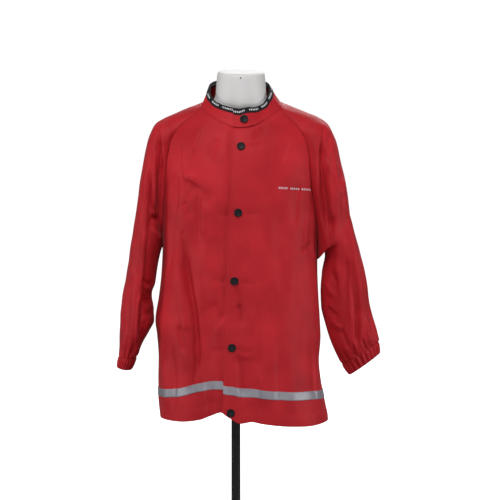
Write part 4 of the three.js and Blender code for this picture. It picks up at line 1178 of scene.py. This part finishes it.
NECKLINE = neckline()


def collar_surface(turn, share, lift=0.0):
    """The collar's outer face: share 0 is the neckline seam and 1 the top edge."""
    around = turn % 360
    base = np.stack([look(NECKLINE, "turn", axis, around) for axis in "xyz"], axis=-1)
    base[:, 2] += NECK_SEAM_RISE
    angle = np.radians(around)
    from_front = np.where(around > 180, 360 - around, around)
    depth = np.where(np.cos(angle) > 0, 58, 60)
    droop = COLLAR_DROOP * smoothstep(turn, 285, 310) * (1 - smoothstep(turn, 325, 350))
    droop = droop + COLLAR_END_DROOP * smoothstep(turn, 346, 364)
    top_z = look(COLLAR_TOP, "turn", "z", from_front) - droop
    top = np.stack([-3 - 57.5 * np.sin(angle), -depth * np.cos(angle), top_z], axis=-1)
    out = np.stack([-np.sin(angle), -np.cos(angle), 0 * angle], axis=-1)
    lap = COLLAR_LAP * smoothstep(turn, 318, 340)
    point = base[None] + (top - base)[None] * share[:, None, None]
    height = COLLAR_HEIGHT * share[:, None]
    soft = 0.7 * unevenness(turn[None, :] / 22, share[:, None] * 1.3, 51)
    small = 0.3 * unevenness(turn[None, :] / 8, share[:, None] * 3, 52)
    shift = (soft + small) * smoothstep(height, 2, 12) * smoothstep(COLLAR_HEIGHT - height, 2, 12)
    shift = shift + 0.8 * seam_pull(height)
    lap = lap * (0.5 + 0.5 * share[:, None])
    return point + out[None] * (lap + shift + lift)[..., None]


collar_turn = COLLAR_END - (COLLAR_END - COLLAR_START) * spaced(COLLAR_COLUMNS, 420)
collar_grid = collar_surface(collar_turn, spaced(COLLAR_ROWS, COLLAR_HEIGHT, first=0.9))
collar_cloth = wall("collar_cloth", collar_grid, COLLAR_CLOTH, CLOTH_MATERIAL, length_map(collar_grid))
place_piece(collar_cloth, "collar")

COLLAR_ROW = 0.07
COLLAR_END_INSET = 2.2
row_turn = np.linspace(COLLAR_START + COLLAR_END_INSET, COLLAR_END - COLLAR_END_INSET, 300)
end_turn = np.full(40, COLLAR_END - COLLAR_END_INSET)
end_share = np.linspace(COLLAR_ROW, 0.74, 40)
collar_rows = [
    collar_surface(row_turn, np.array([COLLAR_ROW]), THREAD_LIFT)[0],
    np.stack([collar_surface(end_turn[:1], np.array([share]), THREAD_LIFT)[0, 0] for share in end_share]),
]
stitches("collar_stitches", collar_rows, RED_THREAD)

# THE COLLAR'S BINDING
# A black woven tape folded over the collar's top edge, with short white marks woven along it.
BINDING_WIDTH = 10.0
BINDING_CLOTH = 0.7
BINDING_LIFT = 0.45


def binding_material():
    material, tree, shader = new_material(
        "woven_binding", Roughness=0.7, Sheen_Weight=0.05, Specular_IOR_Level=0.2
    )
    cloth_map = add_node(tree, "ShaderNodeUVMap", uv_map="cloth_map").outputs["UV"]
    along, across = split(tree, cloth_map)[:2]
    off_middle = maths(tree, "ABSOLUTE", across)
    tests = [
        repeating(tree, along, 0.029, 0.72),
        repeating(tree, along, 0.0033, 0.55),
        maths(tree, "GREATER_THAN", off_middle, 0.0049),
        maths(tree, "LESS_THAN", off_middle, 0.0083),
    ]
    colour = mixed(tree, tests, (0.009, 0.009, 0.012, 1), (0.74, 0.74, 0.76, 1))
    weave = add_node(tree, "ShaderNodeTexWave", {"Vector": cloth_map, "Scale": 420, "Distortion": 1.5})
    bump = bumped(tree, weave.outputs["Fac"], 0.35, 0.0002)
    feed(tree, shader, {"Base Color": colour, "Normal": bump})
    return material


def binding_object():
    """The tape's outer line runs up the outside, over the edge and down the inside."""
    near = BINDING_LIFT
    top = collar_surface(collar_turn, np.array([0.9, 1.0]))
    up = unit(top[1] - top[0])
    out = grid_normals(top)[1]
    edge = top[1]
    bend = np.linspace(0, np.pi, 9)
    radius = COLLAR_CLOTH / 2 + near + BINDING_CLOTH
    legs = np.linspace(-BINDING_WIDTH, 0, 7)[:-1]
    line = [(near + BINDING_CLOTH, rise) for rise in legs]
    line += [(-COLLAR_CLOTH / 2 + radius * math.cos(b), 0.55 * radius * math.sin(b)) for b in bend]
    line += [(-COLLAR_CLOTH - near - BINDING_CLOTH, rise) for rise in legs[::-1]]
    grid = np.stack([edge + out * o + up * u for o, u in line])
    steps = np.hypot(*np.diff(np.array(line), axis=0).T)
    across = np.concatenate([[0], np.cumsum(steps)])
    along = np.concatenate([[0], np.cumsum(np.linalg.norm(np.diff(edge, axis=0), axis=-1))])
    uv = np.stack(np.broadcast_arrays(along[None, :], across[:, None] - across[-1] / 2), axis=-1)
    return wall("black_binding", grid, BINDING_CLOTH, binding_material(), uv)


black_binding = binding_object()
place_piece(black_binding, "collar_binding")
BLACK_THREAD = thread_material("black_thread", (0.02, 0.02, 0.024))
BINDING_ROW = 1.4
top = collar_surface(row_turn, np.array([0.9, 1.0]))
lift = BINDING_LIFT + BINDING_CLOTH + THREAD_LIFT
binding_row = top[1] - unit(top[1] - top[0]) * (BINDING_WIDTH - BINDING_ROW) - grid_normals(top)[1] * lift
stitches("binding_stitches", [binding_row], BLACK_THREAD)

# THE REFLECTIVE TAPE
# Grey tape faced with tiny glass beads, stitched on flat above the hem. It is in three lengths
# that end at the side seams and at the opening.
TAPE_WIDTH = 15.6
TAPE_CLOTH = 0.5
TAPE_LIFT = 0.75
TAPE_ROWS = 12
TAPE_STITCH_ROW = 2
TAPE_STEP = 6.0
TAPE_STEP_REACH = 24.0


def tape_material():
    material, tree, shader = new_material("reflective_tape", Roughness=0.45, Metallic=0.18)
    grey = tinted(tree, noise(tree, 28), (0.25, 0.235, 0.275), (0.36, 0.345, 0.39), 0.3, 0.7)
    feed(tree, shader, {"Base Color": grey, "Normal": bumped(tree, noise(tree, 700), 0.2, 0.0002)})
    return material


TAPE_MATERIAL = tape_material()
rise = spaced(TAPE_ROWS, TAPE_WIDTH, first=0.6)[:, None] * TAPE_WIDTH
left_foot = left_hem + left_tape
left_foot_x = body_points(front_place("left", left_share, left_foot), left_foot)[..., 0]
step_down = TAPE_STEP * (1 - smoothstep(left_foot_x - left_foot_x[0], 0, TAPE_STEP_REACH))
right_rise = right_hem + right_tape + rise
left_rise = left_hem + left_tape - step_down + rise
tapes = {
    "front_right": front_surface("right", right_share[None, :], right_rise, right_hem, right_neck, TAPE_LIFT),
    "front_left": front_surface("left", left_share[None, :], left_rise, left_hem, left_neck, TAPE_LIFT),
    "back": back_surface(back_share[None, :], back_hem + back_tape + rise, back_hem, back_neck, TAPE_LIFT),
}
GREY_THREAD = thread_material("grey_thread", (0.3, 0.29, 0.33))
for panel, grid in tapes.items():
    tape = wall(f"{panel}_reflective_tape", grid, TAPE_CLOTH, TAPE_MATERIAL)
    face = grid + grid_normals(grid) * THREAD_LIFT
    tape_rows = [face[TAPE_STITCH_ROW, 1:-1], face[-1 - TAPE_STITCH_ROW, 1:-1]]
    stitches(f"{panel}_tape_stitches", tape_rows, GREY_THREAD)
    place_piece(tape, f"reflective_tape_{panel}")

# THE PRESS STUDS
# Six black plastic caps, 15 mm across: a rounded rim round a shallow dish. They are closed.
SNAP_RADIUS = 7.6
BODY_SNAP_Z = [722, 600, 474, 351, 231]
COLLAR_SNAP_TURN = 354.0
COLLAR_SNAP_SHARE = 0.44
SNAP_PROFILE = [
    # radius as a share of the cap's, and height
    (0, 1.45), (0.3, 1.48), (0.55, 1.58), (0.66, 1.72), (0.73, 2.02), (0.8, 2.2), (0.88, 2.18),
    (0.95, 1.95), (0.99, 1.55), (1.0, 1.05), (0.985, 0.45), (0.93, 0.05), (0.85, -0.15),
    (0.5, -0.5), (0, -0.5),
]
SNAP_SEGMENTS = 56
SNAP_LIFT = 0.5


def snap_material():
    black = (0.006, 0.006, 0.008, 1)
    material, tree, shader = new_material(
        "snap_cap", Base_Color=black, Roughness=0.45, Specular_IOR_Level=0.22
    )
    feed(tree, shader, {"Normal": bumped(tree, noise(tree, 1400), 0.15, 0.0001)})
    return material


def turned(profile, segments):
    """Vertices and faces of a solid turned round Z from (radius, height), axis to axis."""
    ring = [(r, h) for r, h in profile if r > 0]
    angle = np.linspace(0, 2 * np.pi, segments, endpoint=False)
    vertices = [(r * math.cos(a), r * math.sin(a), h) for r, h in ring for a in angle]
    faces = []
    for i in range(len(ring) - 1):
        for j in range(segments):
            k = (j + 1) % segments
            faces.append((i * segments + j, (i + 1) * segments + j, (i + 1) * segments + k, i * segments + k))
    start, end = len(vertices), len(vertices) + 1
    vertices += [(0, 0, profile[0][1]), (0, 0, profile[-1][1])]
    last = (len(ring) - 1) * segments
    for j in range(segments):
        k = (j + 1) % segments
        faces.append((start, j, k))
        faces.append((end, last + k, last + j))
    return np.array(vertices), faces


SNAP_MATERIAL = snap_material()


def snap_cap(name, node, patch):
    """A cap on the middle of a 3 by 3 patch of the cloth, facing out."""
    out = unit(np.cross(patch[1, 2] - patch[1, 0], patch[2, 1] - patch[0, 1]))
    vertices, faces = turned([(r * SNAP_RADIUS, h) for r, h in SNAP_PROFILE], SNAP_SEGMENTS)
    side_way = unit(np.cross([0.0, 0.0, 1.0], out))
    up_way = np.cross(out, side_way)
    place = patch[1, 1] + SNAP_LIFT * out
    vertices = place + vertices[:, :1] * side_way + vertices[:, 1:2] * up_way + vertices[:, 2:] * out
    place_piece(make_object(name, vertices, faces, SNAP_MATERIAL), node)


turns = COLLAR_SNAP_TURN + np.array([4.0, 0.0, -4.0])
patch = collar_surface(turns, COLLAR_SNAP_SHARE + np.array([-0.15, 0, 0.15]))
snap_cap("collar_snap_cap", "snap_1", patch)
reach = np.array([-SNAP_RADIUS, 0, SNAP_RADIUS])
for k, height in enumerate(BODY_SNAP_Z):
    z = height + reach[:, None] + 0 * reach[None, :]
    x = look(SNAP_LINE, "z", "x", np.array([float(height)]))[0] + reach[None, :] + 0 * z
    snap_cap(f"front_snap_cap_{k + 1}", f"snap_{k + 2}", body_points(front_angle(x, z), z))

# THE DISPLAY FORM
# A hollow moulded torso of pale plastic with no head or limbs. Its neck ends in a sloping flat
# top with a small pin hole at the front: a dark disc of painted shade, not a modelled recess.
FORM = table(
    "z width front back",
    [
        (300, 114, 74, 77), (330, 119, 78, 82), (400, 119, 80, 84), (480, 109, 80, 77),
        (560, 112, 81, 78), (640, 121, 83, 84), (695, 131, 76, 84), (730, 141, 58, 70),
        (750, 146, 44, 56),
    ],
)
FORM_NECK = [
    # z, half width, half depth to front and back, squareness
    (799, 71, 45, 48, 1.4), (807, 55, 46, 48, 1.7), (813, 51, 46, 47.4, 1.9),
    (820, 48.5, 46, 47, 2), (831, 47.2, 46, 46.4, 2), (842, 46.5, 46, 46, 2),
    (850, 45.8, 46, 45.5, 2), (856, 45, 46, 45, 2), (859.5, 44.6, 45.6, 44.6, 2),
    (861.8, 43.8, 44.8, 43.8, 2), (863, 42.6, 43.6, 42.6, 2), (863.5, 40.8, 41.8, 40.8, 2),
    (863.5, 30, 31, 30, 2), (863.5, 14, 15, 14, 2),
]
FORM_SHOULDER = [(6, 36, 47, 1.9), (7, 36, 45, 1.6), (8, 40, 46, 1.3), (9, 43, 47, 1.3)]
SHOULDER_CLEARANCE = 2.2
SHOULDER_INSET = 4.0
NECK_TOP_SLOPE = 0.18
FORM_SEGMENTS = 96
PIN_HOLE = (0.0095, -0.0455, 0.849)
PIN_RADIUS = 0.0017


def form_ring(z, width, front, back, square=SQUARENESS, to_left=0.0):
    turn = np.linspace(0, 2 * np.pi, FORM_SEGMENTS, endpoint=False)
    power = 2 / square
    y, x = -np.cos(turn), np.sin(turn)
    depth = np.sign(y) * np.where(y < 0, front, back) * np.abs(y) ** power
    across = np.sign(x) * (width + np.where(x > 0, to_left, 0)) * np.abs(x) ** power
    slope = NECK_TOP_SLOPE * smoothstep(z, 820, 856)
    return np.stack([across, depth, z + slope * depth], axis=-1)


def form_rings():
    rings = []
    for z in np.linspace(300, 750, 34):
        sizes = [look(FORM, "z", column, np.array([z]))[0] for column in ("width", "front", "back")]
        rings.append(form_ring(z, *sizes))
    right = SLEEVES["right"]["open"]
    left = table("front_z back_z x z depth", SLEEVES["left"]["open"])
    order = np.argsort(left["z"])
    left = {key: column[order] for key, column in left.items()}
    for row, front, back, square in FORM_SHOULDER:
        x, z = right[row][2], right[row][3]
        fall = unit(np.array([x - right[row + 1][2], z - right[row + 1][3]], dtype=float))
        to_left = look(left, "z", "x", np.array([float(z)]))[0] - x
        width = x - SHOULDER_INSET + SHOULDER_CLEARANCE * fall[1]
        rings.append(form_ring(z - SHOULDER_CLEARANCE * fall[0], width, front, back, square, to_left))
    rings += [form_ring(*ring) for ring in FORM_NECK]
    return np.stack(rings)


def form_material():
    material, tree, shader = new_material("form_plastic", Roughness=0.5)
    pale = tinted(tree, noise(tree, 9), (0.70, 0.685, 0.68), (0.78, 0.765, 0.76))
    # The pin hole is painted shade: a dark disc in the base colour where the hole's recess would be in shadow
    ends = {0: object_place(tree), 1: PIN_HOLE}
    to_pin = add_node(tree, "ShaderNodeVectorMath", ends, operation="DISTANCE")
    painted_hole_shade = maths(tree, "LESS_THAN", to_pin.outputs["Value"], PIN_RADIUS)
    colour = mixed(tree, [painted_hole_shade], pale, (0.12, 0.11, 0.13, 1))
    feed(tree, shader, {"Base Color": colour, "Normal": bumped(tree, noise(tree, 500), 0.08, 0.0002)})
    return material


def lofted(rings):
    """Vertices and faces of a closed solid through rings that go up."""
    count, around = rings.shape[:2]
    index = np.arange(count * around).reshape(count, around)
    index = np.concatenate([index, index[:, :1]], axis=1)
    sides = np.stack([index[:-1, :-1], index[:-1, 1:], index[1:, 1:], index[1:, :-1]], axis=-1)
    faces = sides.reshape(-1, 4).tolist()
    vertices = np.concatenate([rings.reshape(-1, 3), [rings[0].mean(axis=0)], [rings[-1].mean(axis=0)]])
    low, high = count * around, count * around + 1
    for j in range(around):
        faces.append((low, int(index[0, j + 1]), int(index[0, j])))
        faces.append((high, int(index[-1, j]), int(index[-1, j + 1])))
    return vertices, faces


torso_form = make_object("torso_form", *lofted(form_rings()), form_material())
place_piece(torso_form, "display_form")

# THE STAND
# A black steel pole with a flange under the torso, on a flat round steel base plate.
POLE_PROFILE = [
    (0, 299.7), (32, 299.7), (32, 294.7), (31, 293.7), (16, 293.7), (12, 291),
    (9.6, 286), (8.6, 281.5), (8.6, 7), (8.6, 6.3), (0, 6.3),
]
BASE_PROFILE = [
    (0, 6), (120, 6), (137.5, 6), (138.8, 5.7), (139.6, 5.1),
    (140, 4.2), (140, 1), (139.6, 0.3), (139, 0), (0, 0),
]


def stand_material():
    black = (0.012, 0.012, 0.013, 1)
    material, tree, shader = new_material("black_steel", Base_Color=black, Metallic=0.4)
    inputs = {"Value": noise(tree, 60), "To Min": 0.32, "To Max": 0.5}
    sheen = add_node(tree, "ShaderNodeMapRange", inputs)
    feed(tree, shader, {"Roughness": sheen.outputs["Result"]})
    return material


STAND_MATERIAL = stand_material()
for name, node, profile, segments in (
    ("steel_pole", "stand_pole", POLE_PROFILE, 48),
    ("steel_base_plate", "stand_base", BASE_PROFILE, 128),
):
    stand = make_object(name, *turned(profile, segments), STAND_MATERIAL, worn=False)
    place_piece(stand, node)
